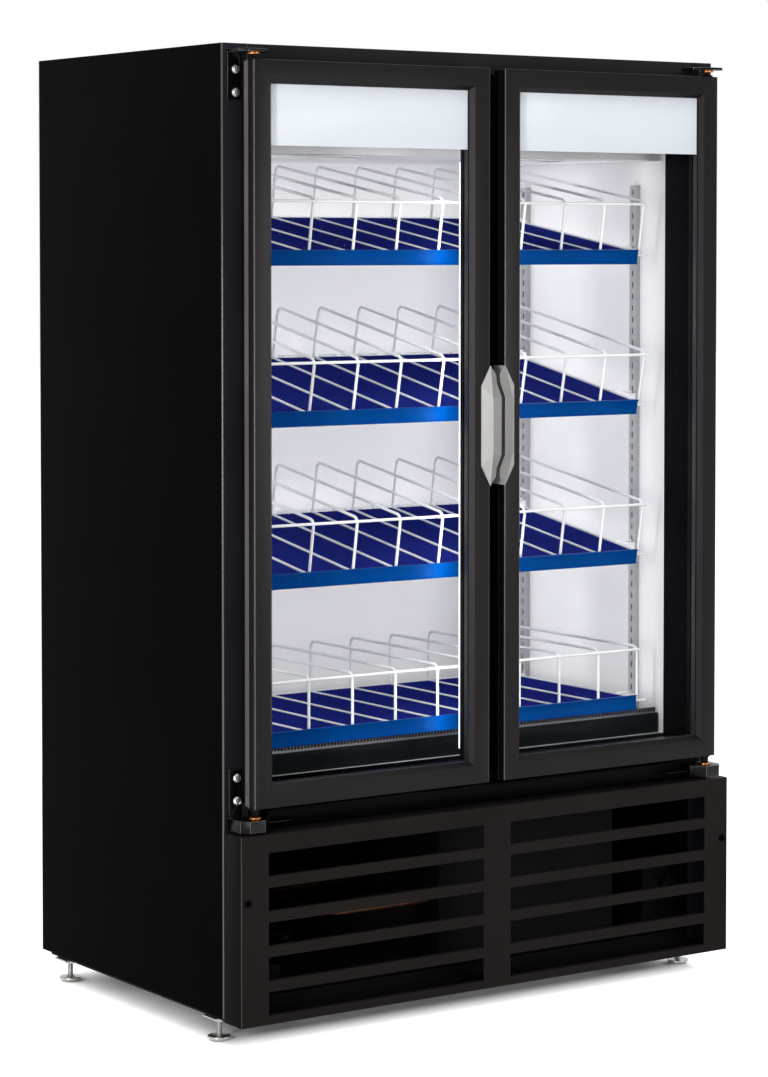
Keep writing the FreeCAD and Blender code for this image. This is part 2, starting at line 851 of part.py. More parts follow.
# Hinge brackets, bolts, bushes and closer rods

pin_y = front("door_gap + door_depth/2")
bracket_parts = []
bolts = []
bushes = []
closers = []
for side, sign in sides.items():
    pin_x = f"{sign}*(width/2 - door_edge - pin_inset)"
    arm_outline = [(f"{sign}*(width/2 - arm_outer)", face),
                   (f"{sign}*(width/2 - arm_outer)", front("arm_reach - arm_corner")),
                   (f"{sign}*(width/2 - arm_outer - arm_corner)", front("arm_reach")),
                   (f"{sign}*(width/2 - arm_inner + arm_taper)", front("arm_reach")),
                   (f"{sign}*(width/2 - arm_inner)", front("arm_reach - arm_taper")),
                   (f"{sign}*(width/2 - arm_inner)", face)]
    plate_x = across(sign, "width/2 - plate_outer - plate_width", "width/2 - plate_outer")
    plate_y = (front("hinge_plate"), face)
    levels = {
        "top": ("top_arm_height", "arm_thick", ("top_arm_height - top_plate_drop", "top_arm_height"),
                ("top_arm_height - bolt_near", "top_arm_height - bolt_far")),
        "bottom": ("bottom_block_top - bottom_block", "bottom_block",
                   ("bottom_block_top", "bottom_block_top + bottom_plate_rise"),
                   ("bottom_block_top + bolt_near", "bottom_block_top + bolt_far")),
    }
    for level, (arm_z, arm_height, plate_z, bolt_heights) in levels.items():
        tag = f"{level}_{side}"
        arm = padded(f"hinge_arm_{tag}", "XY_Plane", arm_outline, arm_z, arm_height)
        plate = block(f"hinge_plate_{tag}", plate_x, plate_y, plate_z)
        holes = [rod(f"hinge_bore_{tag}", (pin_x, pin_y, arm_z), "bush_radius + run_clear", arm_height)]
        for number, bolt_z in enumerate(bolt_heights):
            bolt_x = f"{sign}*(width/2 - bolt_inset)"
            holes.append(rod(f"bolt_hole_{tag}_{number}", (bolt_x, plate_y[0], bolt_z),
                             "bolt_shank + bolt_hole_clear", "hinge_plate", "y"))
            head_spot = (bolt_x, front("hinge_plate + bolt_head_height"), bolt_z)
            head = hexagon(f"bolt_head_{tag}_{number}", head_spot, "bolt_head_radius",
                           "bolt_head_height", "y")
            shank_spot = (bolt_x, plate_y[0], bolt_z)
            shank = rod(f"bolt_shank_{tag}_{number}", shank_spot, "bolt_shank", "hinge_plate", "y")
            bolts.append(fuse(f"hinge_bolt_{tag}_{number}", [head, shank]))
        bracket_parts.append(cut(f"hinge_bracket_{tag}", fuse(f"hinge_blank_{tag}", [arm, plate]), holes))
        sleeve_end = arm_height
        flange_end = "-bush_flange"
        bush_base = arm_z
        if level == "bottom":
            sleeve_end = f"-({arm_height})"
            flange_end = "bush_flange"
            bush_base = "bottom_block_top"
        bore = "pin_radius + run_clear"
        bushes.append(turned(f"hinge_bush_{tag}",
                             [(bore, sleeve_end), ("bush_radius", sleeve_end), ("bush_radius", "0"),
                              ("bush_flange_radius", "0"), ("bush_flange_radius", flange_end),
                              (bore, flange_end)],
                             (pin_x, pin_y, bush_base)))
    closer_start = Vector(num(f"{sign}*(width/2 - arm_inner)"), num(front("closer_stand")),
                          num("bottom_block_top - closer_drop"))
    closer_corner = closer_start + Vector(-sign * num("closer_length"), 0, 0)
    closer_end = closer_corner + Vector(0, num("closer_stand - sill_depth"), 0)
    closer_path = [closer_start, closer_corner, closer_end]
    closers.append(bent_wire(closer_path, num("closer_radius"), num("closer_bend")))
finish(group("hinge_brackets", bracket_parts))
finish(group("hinge_bolts", bolts))
finish(group("hinge_bushes", bushes))
finish(feature("closer_rods", Part.makeCompound(closers)))

# Doors: mitred frame, insulated glass, sign panel, gasket, handle and hinge pins

door_front = num(front("door_gap + door_depth"))
door_back = num(front("door_gap"))
sight = num("frame_face + bevel_width")
pocket = sight - num("glass_bite")
glass_front = door_front + num("bevel_depth")
glass_back = glass_front + num("2*pane + pane_gap")
step = num("step_inset")
step_front = door_back - num("step_depth")
frame_profile = [(0, door_front), (num("frame_face"), door_front), (sight, glass_front),
                 (pocket, glass_front), (pocket, glass_back), (sight, glass_back), (sight, door_back),
                 (step, door_back), (step, step_front), (0, step_front)]
spacer_front = glass_front + num("pane")
spacer_back = glass_back - num("pane")
glass_edge = pocket + num("glass_clear")
spacer_profile = [(glass_edge, spacer_front), (sight, spacer_front), (sight, spacer_back),
                  (glass_edge, spacer_back)]
seal_outer = num("gasket_inset")
seal_inner = seal_outer + num("gasket_width")
waist = num("gasket_waist")
seal_back = num(front("gasket_clear"))
seal_middle = (door_back + seal_back) / 2
gasket_profile = [(seal_outer, door_back), (seal_inner, door_back), (seal_inner - waist, seal_middle),
                  (seal_inner, seal_back), (seal_outer, seal_back), (seal_outer + waist, seal_middle)]
door_z = (num("door_bottom"), num("door_top"))


def handle_shape(sign):
    edge = sign * num("meeting_half")
    height = num("handle_height")
    wall = num("handle_sheet")

    def at(across_edge, reach, rise):
        return Vector(edge + sign * across_edge, door_front - reach, height + rise)

    pieces = []
    for end in (1, -1):
        tip = at(0, wall, end * num("handle_tip"))
        shoulder = at(num("handle_shoulder_across"), wall, end * num("handle_shoulder"))
        crease = at(num("handle_crease_across"), num("handle_crease_reach"), end * num("handle_crease"))
        lip = at(-num("handle_lip_across"), num("handle_reach"), end * num("handle_lip"))
        ear = at(-num("handle_lip_across"), num("handle_ear_reach"), end * num("handle_ear"))
        tail = at(-num("handle_lip_across"), num("handle_end_reach"), end * num("handle_end"))
        pieces += [[tip, shoulder, crease], [tip, crease, ear], [ear, crease, lip], [tip, ear, tail]]
        if end == 1:
            upper = (shoulder, crease, lip)
        else:
            pieces += [[upper[0], upper[1], crease, shoulder], [upper[1], upper[2], lip, crease]]
    plates = []
    for loop in pieces:
        plates.append(Part.Face(Part.makePolygon(loop + loop[:1])).extrude(Vector(0, wall, 0)))
    tip_height = num("handle_tip")
    flange_x = edge - wall if sign > 0 else edge
    flange = Part.makeBox(wall, num("handle_flange") + wall, 2 * tip_height,
                          Vector(flange_x, door_front - wall, height - tip_height))
    return plates[0].multiFuse(plates[1:] + [flange]).removeSplitter()


for side, sign in sides.items():
    door_x = sorted((sign * num("meeting_half"), sign * num("width/2 - door_edge")))
    finish(feature(f"door_frame_{side}", Part.makeCompound(mitred_bars(frame_profile, door_x, door_z))))

    inset = glass_edge
    pane_size = (door_x[1] - door_x[0] - 2 * inset, num("pane"), door_z[1] - door_z[0] - 2 * inset)
    glazing = []
    for pane_y in (glass_front, spacer_back):
        glazing.append(Part.makeBox(*pane_size, Vector(door_x[0] + inset, pane_y, door_z[0] + inset)))
    glazing += mitred_bars(spacer_profile, door_x, door_z)
    finish(feature(f"glass_unit_{side}", Part.makeCompound(glazing)))

    sign_inset = "frame_face + bevel_width + sign_clear"
    sign_x = across(sign, f"meeting_half + {sign_inset}", f"width/2 - door_edge - ({sign_inset})")
    sign_front = front("door_gap + door_depth - bevel_depth - pane")
    sign_top = f"door_top - ({sign_inset})"
    finish(block(f"sign_panel_{side}", sign_x, (sign_front, f"{sign_front} + sign_sheet"),
                 (f"{sign_top} - sign_height", sign_top)))

    finish(feature(f"gasket_{side}", Part.makeCompound(mitred_bars(gasket_profile, door_x, door_z))))
    finish(feature(f"handle_{side}", handle_shape(sign)))

    pin_x = f"{sign}*(width/2 - door_edge - pin_inset)"
    pin_top = "top_arm_height + arm_thick + pin_rise - door_top"
    upper = turned(f"hinge_pin_top_{side}",
                   [("0", "0"), ("pin_disc_radius", "0"), ("pin_disc_radius", "pin_disc"),
                    ("pin_radius", "pin_disc"), ("pin_radius", pin_top), ("0", pin_top)],
                   (pin_x, pin_y, "door_top"))
    shoulder = "bottom_block_top + bush_flange - door_bottom"
    pin_end = "bottom_block_top - bottom_block - door_bottom"
    lower = turned(f"hinge_pin_bottom_{side}",
                   [("0", "0"), ("pin_disc_radius", "0"), ("pin_disc_radius", "-pin_disc"),
                    ("bush_radius", "-pin_disc"), ("bush_radius", shoulder), ("pin_radius", shoulder),
                    ("pin_radius", pin_end), ("0", pin_end)],
                   (pin_x, pin_y, "door_bottom"))
    finish(group(f"hinge_pins_{side}", [upper, lower]))

# Shelf standards: slotted channels on the liner walls

standard_inner = "wall_half - standard_depth"
standard_spots = []
channel = Part.makeBox(num("standard_depth"), num("standard_width"), num("standard_top - standard_bottom"))
channel_sheet = num("standard_sheet")
hollow = Part.makeBox(num("standard_depth"), num("standard_width") - 2 * channel_sheet,
                      num("standard_top - standard_bottom"), Vector(channel_sheet, channel_sheet, 0))
slot = Part.makeBox(channel_sheet, num("standard_slot_width"), num("standard_slot_height"))
slot_count = int(num("(standard_top - standard_bottom - 2*standard_slot_margin)/standard_slot_pitch")) + 1
slot_y = (num("standard_width") - num("standard_slot_width")) / 2
slot_spots = [Vector(0, slot_y, num("standard_slot_margin") + index * num("standard_slot_pitch"))
              for index in range(slot_count)]
channel = channel.cut(hollow).cut(Part.makeCompound(array(slot, slot_spots)))
standards = []
for row_y in ("standard_front", "standard_rear"):
    spot = Vector(num(standard_inner), num(back(f"{row_y} - standard_width/2")), num("standard_bottom"))
    standards.append(channel.translated(spot))
    standards.append(standards[-1].mirror(Vector(), Vector(1, 0, 0)))
finish(feature("shelf_standards", Part.makeCompound(standards)))

# Wire shelves, each modelled level from its front edge and then tilted

lanes = int(num("lanes"))
lane_pitch = num("lane_pitch")
wire = num("deck_wire")
divider_x = [(index - lanes / 2) * lane_pitch for index in range(lanes + 1)]
lane_x = [(index - (lanes - 1) / 2) * lane_pitch for index in range(lanes)]
deck_rear = num("deck_bar_rear") + wire
deck_half = num(f"{standard_inner} - deck_clear")
front_half = divider_x[-1] + num("deck_front_end")


def deck_shape():
    pieces = []
    long_x = divider_x + [centre + offset for centre in lane_x
                          for offset in (-num("lane_support"), num("lane_support"))]
    for centre in long_x:
        pieces.append(Part.makeBox(wire, deck_rear, wire, Vector(centre - wire / 2, 0, 0)))
    bars = [(0, front_half), (num("deck_bar_front"), deck_half), (num("deck_bar_middle"), divider_x[-1]),
            (num("deck_bar_rear"), deck_half)]
    for start, half in bars:
        pieces.append(Part.makeBox(2 * half, wire, wire, Vector(-half, start, 0)))
    return pieces[0].multiFuse(pieces[1:]).removeSplitter()


def divider_shapes():
    radius = num("divider_wire")
    crown = wire + num("divider_height") - radius
    near = num("divider_front")
    far = num("divider_rear")
    path = [Vector(0, near, wire), Vector(0, near, crown), Vector(0, far, crown), Vector(0, far, wire)]
    bend = num("divider_bend")
    hairpin = bent_wire(path, radius, bend)
    runner = num("divider_runner")
    runner_start = Vector(0, near, wire + num("divider_lift") + runner)
    hairpin = hairpin.fuse(Part.makeCylinder(runner, far - near, runner_start, Vector(0, 1, 0)))
    shapes = array(hairpin, [Vector(x, 0, 0) for x in divider_x])
    bar_z = crown + radius - num("divider_bar_drop")
    seat_reach = bend + 2 * radius + num("divider_clear")
    bar_y = near + bend - math.sqrt(seat_reach ** 2 - (bar_z - crown + bend) ** 2)
    bar_half = divider_x[-1] + radius
    shapes.append(Part.makeCylinder(radius, 2 * bar_half, Vector(-bar_half, bar_y, bar_z), Vector(1, 0, 0)))
    return shapes


def glide_shapes():
    half = num("glide_width") / 2
    ribs = int(num("glide_ribs"))
    rib_pitch = 2 * half / ribs
    base = wire + num("glide_base")
    start = num("glide_front")
    outline = [Vector(half, start, wire), Vector(-half, start, wire), Vector(-half, start, base)]
    for index in range(ribs):
        left = -half + index * rib_pitch
        outline.append(Vector(left + rib_pitch / 2, start, base + num("glide_rib")))
        outline.append(Vector(left + rib_pitch, start, base))
    profile = Part.Face(Part.makePolygon(outline + outline[:1]))
    glide = profile.extrude(Vector(0, num("glide_rear") - start, 0))
    return array(glide, [Vector(x, 0, 0) for x in lane_x])


def rail_shape():
    half = num("rail_half")
    plate = num("rail_plate")
    lip = plate + num("rail_lip")
    high = num("rail_above")
    low = -num("rail_below")
    fold = num("rail_lip_height")
    outline = [(0, low), (-lip, low), (-lip, low + fold), (-plate, low + fold), (-plate, high - fold),
               (-lip, high - fold), (-lip, high), (0, high)]
    loop = [Vector(-half, y, z) for y, z in outline]
    return Part.Face(Part.makePolygon(loop + loop[:1])).extrude(Vector(2 * half, 0, 0))


def clip_shape():
    length = num("clip_length")
    spread = num("standard_width")
    thick = num("clip_thick")
    web = num("clip_web")
    drop = thick + num("clip_web_drop")
    shelf = Part.makeBox(length, spread, thick, Vector(-length, -spread / 2, -thick))
    stem = Part.makeBox(web, spread, drop, Vector(-web, -spread / 2, -drop))
    return shelf.fuse(stem).removeSplitter()


deck = deck_shape()
dividers = divider_shapes()
glides = glide_shapes()
rail = rail_shape()
clip = clip_shape()
all_dividers = []
all_glides = []
all_rails = []
all_clips = []
for level in range(1, 5):
    tilt = num(f"deck_angle_{level}")
    origin = Vector(0, num(back("shelf_front")), num(f"deck_front_{level}"))
    seat = Placement(origin, Rotation(Vector(1, 0, 0), tilt))
    finish(feature(f"shelf_deck_{level}", deck.copy(), seat))
    for shapes, store in ((dividers, all_dividers), (glides, all_glides), ([rail], all_rails)):
        for shape in shapes:
            moved = shape.copy()
            moved.Placement = seat.multiply(moved.Placement)
            store.append(moved)
    for row_y, bar_y in (("standard_front", "deck_bar_front"), ("standard_rear", "deck_bar_rear")):
        bar_low = origin.z + num(bar_y) * math.sin(math.radians(tilt))
        spot = Vector(num(standard_inner), num(back(row_y)), bar_low - num("clip_clear"))
        all_clips.append(clip.translated(spot))
        all_clips.append(all_clips[-1].mirror(Vector(), Vector(1, 0, 0)))
finish(feature("lane_dividers", Part.makeCompound(all_dividers)))
finish(feature("lane_glides", Part.makeCompound(all_glides)))
finish(feature("price_rails", Part.makeCompound(all_rails)))
finish(feature("shelf_clips", Part.makeCompound(all_clips)))

# Bottom air duct on the cavity floor

duct_top = "floor_height + duct_height"
duct_half = "wall_half - duct_clear"
duct_y = (back("duct_front"), back("duct_rear"))
duct_box = block("duct_box", both(duct_half), duct_y, ("floor_height", duct_top))
duct_inside = block("duct_inside", both(f"{duct_half} - duct_sheet"),
                    (back("duct_front + duct_sheet"), back("duct_rear - duct_sheet")),
                    ("floor_height", f"{duct_top} - duct_sheet"))
duct_shell = cut("duct_shell", duct_box, [duct_inside])
slot_count = int(num(f"2*({duct_half} - duct_slot_end)/duct_slot_pitch"))
slot = Part.makeBox(num("duct_slot_length"), num("duct_slot_width"), num("duct_sheet"))
slot_left = -num("duct_slot_pitch") * (slot_count - 1) / 2 - num("duct_slot_length") / 2
slot_spots = [Vector(slot_left + index * num("duct_slot_pitch"), num(back("duct_front + duct_slot_setback")),
                     num(f"{duct_top} - duct_sheet")) for index in range(slot_count)]
duct_slots = feature("duct_slots", Part.makeCompound(array(slot, slot_spots)))
finish(cut("bottom_duct", duct_shell, [duct_slots]))

# Evaporator: cover, coil and two fans

cover_x = both(f"{cavity_half} - cover_clear")
cover_floor = block("cover_floor", cover_x, (back("cover_front"), back(cavity_back)),
                    ("cover_height", "cover_height + cover_sheet"))
cover_face = block("cover_face", cover_x, (back("cover_front"), back("cover_front + cover_sheet")),
                   ("cover_height", cavity_top))
fan_y = back("fan_back")
fan_holes = []
for side, sign in sides.items():
    hole_spot = (f"{sign}*fan_across", fan_y, "cover_height")
    fan_holes.append(rod(f"fan_hole_{side}", hole_spot, "fan_opening", "cover_sheet"))
finish(cut("evaporator_cover", fuse("cover_blank", [cover_floor, cover_face]), fan_holes))

coil_y = (back("coil_front"), back("coil_rear"))
coil_core = block("coil_core", both("coil_half"), coil_y, ("coil_bottom", "coil_top"))
coil_ends = [block(f"coil_end_{side}", across(sign, "coil_half", "coil_half + coil_plate"), coil_y,
                   ("coil_bottom", cavity_top)) for side, sign in sides.items()]
finish(fuse("evaporator_coil", [coil_core] + coil_ends))


def fan_shape(radius):
    hub_radius = num("fan_hub_radius")
    height = num("fan_hub_height")
    blade = num("fan_blade")
    overlap = blade
    span = radius - hub_radius + overlap
    chord = height / math.sin(math.radians(num("fan_blade_angle")))
    panel = Part.makeBox(span, chord, blade, Vector(hub_radius - overlap, -chord / 2, -blade / 2))
    panel.rotate(Vector(), Vector(1, 0, 0), num("fan_blade_angle"))
    ring = Part.makeCylinder(radius, height, Vector(0, 0, -height / 2))
    panel = panel.common(ring)
    count = int(num("fan_blades"))
    blades = []
    for index in range(count):
        copy = panel.copy()
        copy.rotate(Vector(), Vector(0, 0, 1), 360 * index / count)
        blades.append(copy)
    hub = Part.makeCylinder(hub_radius, height, Vector(0, 0, -height / 2))
    reach = num("fan_gap + shaft_grip")
    shaft = Part.makeCylinder(num("shaft_radius"), reach, Vector(0, 0, height / 2))
    return hub.multiFuse(blades + [shaft]).removeSplitter()


fan_top = "cover_height + cover_sheet + fan_lift + fan_hub_height/2"
motor_foot = f"{fan_top} + fan_gap"
motors = []
for side, sign in sides.items():
    fan_x = f"{sign}*fan_across"
    can_spot = (fan_x, fan_y, motor_foot)
    motor_can = rod(f"evaporator_motor_can_{side}", can_spot, "motor_radius", "motor_length")
    post_foot = f"{motor_foot} + motor_length"
    motor_post = rod(f"evaporator_motor_post_{side}", (fan_x, fan_y, post_foot), "motor_post",
                     f"{cavity_top} - ({post_foot})")
    motor_bore = rod(f"evaporator_motor_bore_{side}", (fan_x, fan_y, motor_foot), "shaft_radius + run_clear",
                     "shaft_grip")
    motor_blank = fuse(f"evaporator_motor_blank_{side}", [motor_can, motor_post])
    motors.append(cut(f"evaporator_motor_{side}", motor_blank, [motor_bore]))
    spot = Vector(num(fan_x), num(fan_y), num(f"{fan_top} - fan_hub_height/2"))
    finish(feature(f"evaporator_fan_{side}", fan_shape(num("fan_radius")), Placement(spot, Rotation())))

# Condenser: coil, shroud, motor on a pedestal and fan

cond_x = ("condenser_left", "condenser_right")
cond_y = (back("condenser_front"), back("condenser_front + condenser_thick"))
cond_z = (pan_top, f"{pan_top} + condenser_height")
cond_core = block("condenser_core", ("condenser_left + condenser_plate", "condenser_right - condenser_plate"),
                  cond_y, (f"{pan_top} + condenser_plate", f"{cond_z[1]} - condenser_plate"))
end_left_x = ("condenser_left", "condenser_left + condenser_plate")
end_right_x = ("condenser_right - condenser_plate", "condenser_right")
cond_ends = [block("condenser_end_left", end_left_x, cond_y, cond_z),
             block("condenser_end_right", end_right_x, cond_y, cond_z)]
finish(fuse("condenser_coil", [cond_core] + cond_ends))

cond_fan_x = "(condenser_left + condenser_right)/2"
cond_fan_z = f"{pan_top} + condenser_height/2"
shroud_y = (cond_y[1], back("condenser_front + condenser_thick + shroud_sheet"))
shroud_sheet = block("shroud_blank", cond_x, shroud_y, cond_z)
shroud_hole = rod("shroud_hole", (cond_fan_x, shroud_y[0], cond_fan_z), "shroud_opening", "shroud_sheet", "y")
finish(cut("condenser_shroud", shroud_sheet, [shroud_hole]))

cond_fan_y = f"{shroud_y[1]} + cond_fan_gap + fan_hub_height/2"
cond_motor_y = f"{cond_fan_y} + fan_hub_height/2 + fan_gap"
cond_can = rod("condenser_motor_can", (cond_fan_x, cond_motor_y, cond_fan_z), "cond_motor_radius",
               "cond_motor_length", "y")
pedestal = block("condenser_pedestal", (f"{cond_fan_x} - pedestal_half", f"{cond_fan_x} + pedestal_half"),
                 (cond_motor_y, f"{cond_motor_y} + cond_motor_length"), (pan_top, cond_fan_z))
cond_bore = rod("condenser_motor_bore", (cond_fan_x, cond_motor_y, cond_fan_z), "shaft_radius + run_clear",
                "shaft_grip", "y")
motors.append(cut("condenser_motor", fuse("condenser_motor_blank", [cond_can, pedestal]), [cond_bore]))
finish(group("fan_motors", motors))
spot = Vector(num(cond_fan_x), num(cond_fan_y), num(cond_fan_z))
finish(feature("condenser_fan", fan_shape(num("cond_fan_radius")), Placement(spot, turns["y"])))

# Compressor on rubber grommets

comp_x = "compressor_across"
comp_y = back("compressor_back")
comp_z = f"{pan_top} + grommet_height"
shell_z = f"{comp_z} + compressor_foot_sheet"
pot = rod("compressor_pot", (comp_x, comp_y, shell_z), "compressor_radius", "compressor_height")
pot_round = doc.addObject("Part::Fillet", "compressor_dome")
pot_round.Base = pot
doc.recompute()
dome_edges = [index for index, edge in enumerate(pot.Shape.Edges, start=1)
              if abs(edge.CenterOfMass.z - num(f"{shell_z} + compressor_height")) < touch]
pot_round.Edges = [(index, num("compressor_round"), num("compressor_round")) for index in dome_edges]
comp_foot = block("compressor_foot", (f"{comp_x} - compressor_foot_half", f"{comp_x} + compressor_foot_half"),
                  (f"{comp_y} - compressor_foot_half", f"{comp_y} + compressor_foot_half"), (comp_z, shell_z))
discharge_z = f"{pan_top} + discharge_height"
suction_z = f"{pan_top} + suction_height"
port_reach = "compressor_radius + port_length"
port_spot = (comp_x, f"{comp_y} - ({port_reach})", discharge_z)
port_front = rod("discharge_port", port_spot, "port_radius", port_reach, "y")
port_side = rod("suction_port", (comp_x, comp_y, suction_z), "port_radius", port_reach, "x")
finish(fuse("compressor", [pot_round, comp_foot, port_front, port_side]))

grommets = []
grommet_reach = "compressor_foot_half - grommet_inset"
for side, sign in sides.items():
    for end, way in (("front", -1), ("rear", 1)):
        grommets.append(rod(f"grommet_{end}_{side}", (f"{comp_x} + {sign}*({grommet_reach})",
                                                      f"{comp_y} + {way}*({grommet_reach})", pan_top),
                            "grommet_radius", "grommet_height"))
finish(group("compressor_grommets", grommets))

# Refrigerant lines: discharge, liquid and suction, as straight runs and arcs

pipe_radius = num("pipe_radius")
pipe_bend = num("pipe_bend")
comp_spot = Vector(num(comp_x), num(comp_y), 0)
line_y = num(back("condenser_front + condenser_thick/2"))
wall_y = num(back("pipe_wall_back"))
coil_face = num(coil_y[1])
discharge = [comp_spot + Vector(0, -num(port_reach), num(discharge_z)),
             Vector(comp_spot.x, line_y, num(discharge_z)),
             Vector(num("condenser_left"), line_y, num(discharge_z))]
liquid_z = num(f"{pan_top} + liquid_height")
liquid_x = num("liquid_across")
liquid = [Vector(num("condenser_right"), line_y, liquid_z), Vector(liquid_x, line_y, liquid_z),
          Vector(liquid_x, wall_y, liquid_z), Vector(liquid_x, wall_y, num("liquid_top")),
          Vector(liquid_x, coil_face, num("liquid_top"))]
suction_x = num("suction_across")
suction = [comp_spot + Vector(num(port_reach), 0, num(suction_z)),
           Vector(suction_x, comp_spot.y, num(suction_z)), Vector(suction_x, wall_y, num(suction_z)),
           Vector(suction_x, wall_y, num("suction_top")), Vector(suction_x, coil_face, num("suction_top"))]
lines = [bent_wire(route, pipe_radius, pipe_bend) for route in (discharge, liquid, suction)]
finish(feature("refrigerant_lines", Part.makeCompound(lines)))

# Control box with the thermostat knob, and the condensate tray

box_y = (back("box_front"), back("box_front + box_depth"))
box_blank = block("control_blank", ("box_left", "box_right"), box_y, (pan_top, f"{pan_top} + box_height"))
knob_z = f"{pan_top} + knob_height"
knob_spot = ("knob_across", box_y[0], knob_z)
knob_hole = rod("knob_hole", knob_spot, "knob_shaft + run_clear", "knob_shaft_length", "y")
finish(cut("control_box", box_blank, [knob_hole]))

knob_front = back("box_front - knob_length")
knob_disc = rod("knob_disc", ("knob_across", knob_front, knob_z), "knob_radius", "knob_length", "y")
knob_stem = rod("knob_stem", knob_spot, "knob_shaft", "knob_shaft_length", "y")
knob_mark = block("knob_mark", ("knob_across - knob_mark_width/2", "knob_across + knob_mark_width/2"),
                  (knob_front, f"{knob_front} + knob_mark_depth"), (knob_z, f"{knob_z} + knob_radius"))
knob_blank = fuse("knob_blank", [knob_disc, knob_stem])
finish(cut("thermostat_knob", knob_blank, [knob_mark]))

tray_y = (back("tray_front"), back("tray_rear"))
tray_box = block("tray_box", ("tray_left", "tray_right"), tray_y, (pan_top, f"{pan_top} + tray_height"))
tray_inside = block("tray_inside", ("tray_left + tray_sheet", "tray_right - tray_sheet"),
                    (f"{tray_y[0]} + tray_sheet", f"{tray_y[1]} - tray_sheet"),
                    (f"{pan_top} + tray_sheet", f"{pan_top} + tray_height"))
finish(cut("condensate_tray", tray_box, [tray_inside]))

# Every object is sound before anything is written

doc.recompute()
failed = [item.Label for item in doc.Objects if "Invalid" in item.State or "Error" in item.State]
unsound = [item.Label for item in nodes if item.Shape.isNull() or not item.Shape.isValid()]
if failed or unsound:
    raise SystemExit(f"failed {failed} unsound {unsound}")
os.makedirs("parts", exist_ok=True)
for item in nodes:
    item.Shape.exportStep(os.path.join("parts", item.Label + ".step"))
whole = Part.makeCompound([item.Shape for item in nodes]).BoundBox
print(len(nodes), "nodes", sum(len(item.Shape.Solids) for item in nodes), "solids")
print("x", round(whole.XMin, 2), round(whole.XMax, 2), "y", round(whole.YMin, 2), round(whole.YMax, 2),
      "z", round(whole.ZMin, 2), round(whole.ZMax, 2))
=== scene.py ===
import bpy
import bmesh
import json
import math
from mathutils import Matrix, Vector


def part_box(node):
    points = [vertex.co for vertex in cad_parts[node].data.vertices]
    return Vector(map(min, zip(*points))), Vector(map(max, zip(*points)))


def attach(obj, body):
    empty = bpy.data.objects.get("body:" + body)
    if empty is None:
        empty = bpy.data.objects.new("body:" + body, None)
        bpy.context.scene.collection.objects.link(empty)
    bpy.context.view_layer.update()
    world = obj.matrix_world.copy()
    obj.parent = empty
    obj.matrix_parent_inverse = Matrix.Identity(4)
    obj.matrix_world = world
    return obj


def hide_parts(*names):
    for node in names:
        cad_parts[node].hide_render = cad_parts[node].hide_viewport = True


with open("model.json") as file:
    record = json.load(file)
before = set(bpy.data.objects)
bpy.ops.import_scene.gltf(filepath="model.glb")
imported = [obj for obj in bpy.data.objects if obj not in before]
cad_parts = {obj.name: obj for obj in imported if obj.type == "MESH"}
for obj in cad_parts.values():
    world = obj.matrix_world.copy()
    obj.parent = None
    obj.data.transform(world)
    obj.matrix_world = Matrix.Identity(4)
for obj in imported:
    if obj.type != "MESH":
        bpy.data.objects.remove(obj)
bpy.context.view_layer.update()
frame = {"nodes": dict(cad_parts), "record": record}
cad = frame["nodes"]
mm = 0.001
slotOf = {entry["node"]: entry["material_slot"] for entry in frame["record"]["subparts"]}
bodyOf = {node: body for body, nodes in frame["record"]["behaviour"]["bodies"].items() for node in nodes}
print("loaded", len(cad), "nodes")


def linear(code):
    parts = [int(code[i:i + 2], 16) / 255 for i in (1, 3, 5)]
    return [c / 12.92 if c <= 0.04045 else ((c + 0.055) / 1.055) ** 2.4 for c in parts] + [1.0]


def perMm(size):
    return 1000.0 / size  # repeats per metre of a pattern this many mm long


def add(tree, kind, **inputs):
    node = tree.nodes.new("ShaderNode" + kind)
    for name, value in inputs.items():
        if hasattr(node, name):
            setattr(node, name, value)
            continue
        socket = node.inputs[int(name[1:])] if name[0] == "_" else node.inputs[name.replace("_", " ")]
        if isinstance(value, bpy.types.NodeSocket):
            tree.links.new(value, socket)
        else:
            socket.default_value = value
    return node


def blank(name):
    mat = bpy.data.materials.new(name)
    mat.use_nodes = True
    tree = mat.node_tree
    tree.nodes.clear()
    out = tree.nodes.new("ShaderNodeOutputMaterial")
    shader = tree.nodes.new("ShaderNodeBsdfPrincipled")
    tree.links.new(shader.outputs["BSDF"], out.inputs["Surface"])
    return mat, tree, shader


def ramp(tree, factor, low, high, start=0.3, end=0.7):
    node = add(tree, "ValToRGB", Fac=factor)
    node.color_ramp.elements[0].position = start
    node.color_ramp.elements[0].color = low
    node.color_ramp.elements[1].position = end
    node.color_ramp.elements[1].color = high
    return node.outputs["Color"]


def span(tree, factor, low, high):
    return add(tree, "MapRange", Value=factor, To_Min=low, To_Max=high).outputs["Result"]


def coated(name, dark, light, rough, grainMm, bump, cloudMm=180, specular=0.5, stretch=(1, 1, 1), metal=0.0):
    mat, tree, shader = blank(name)
    coord = add(tree, "TexCoord").outputs["Object"]
    place = add(tree, "Mapping", Vector=coord, Scale=stretch).outputs["Vector"]
    cloud = add(tree, "TexNoise", Vector=coord, Scale=perMm(cloudMm), Detail=4.0).outputs["Fac"]
    grain = add(tree, "TexNoise", Vector=place, Scale=perMm(grainMm), Detail=3.0).outputs["Fac"]
    tree.links.new(ramp(tree, cloud, linear(dark), linear(light)), shader.inputs["Base Color"])
    tree.links.new(span(tree, grain, rough[0], rough[1]), shader.inputs["Roughness"])
    relief = add(tree, "Bump", Height=grain, Strength=bump, Distance=0.1 * mm).outputs["Normal"]
    tree.links.new(relief, shader.inputs["Normal"])
    shader.inputs["Specular IOR Level"].default_value = specular
    shader.inputs["Metallic"].default_value = metal
    return mat


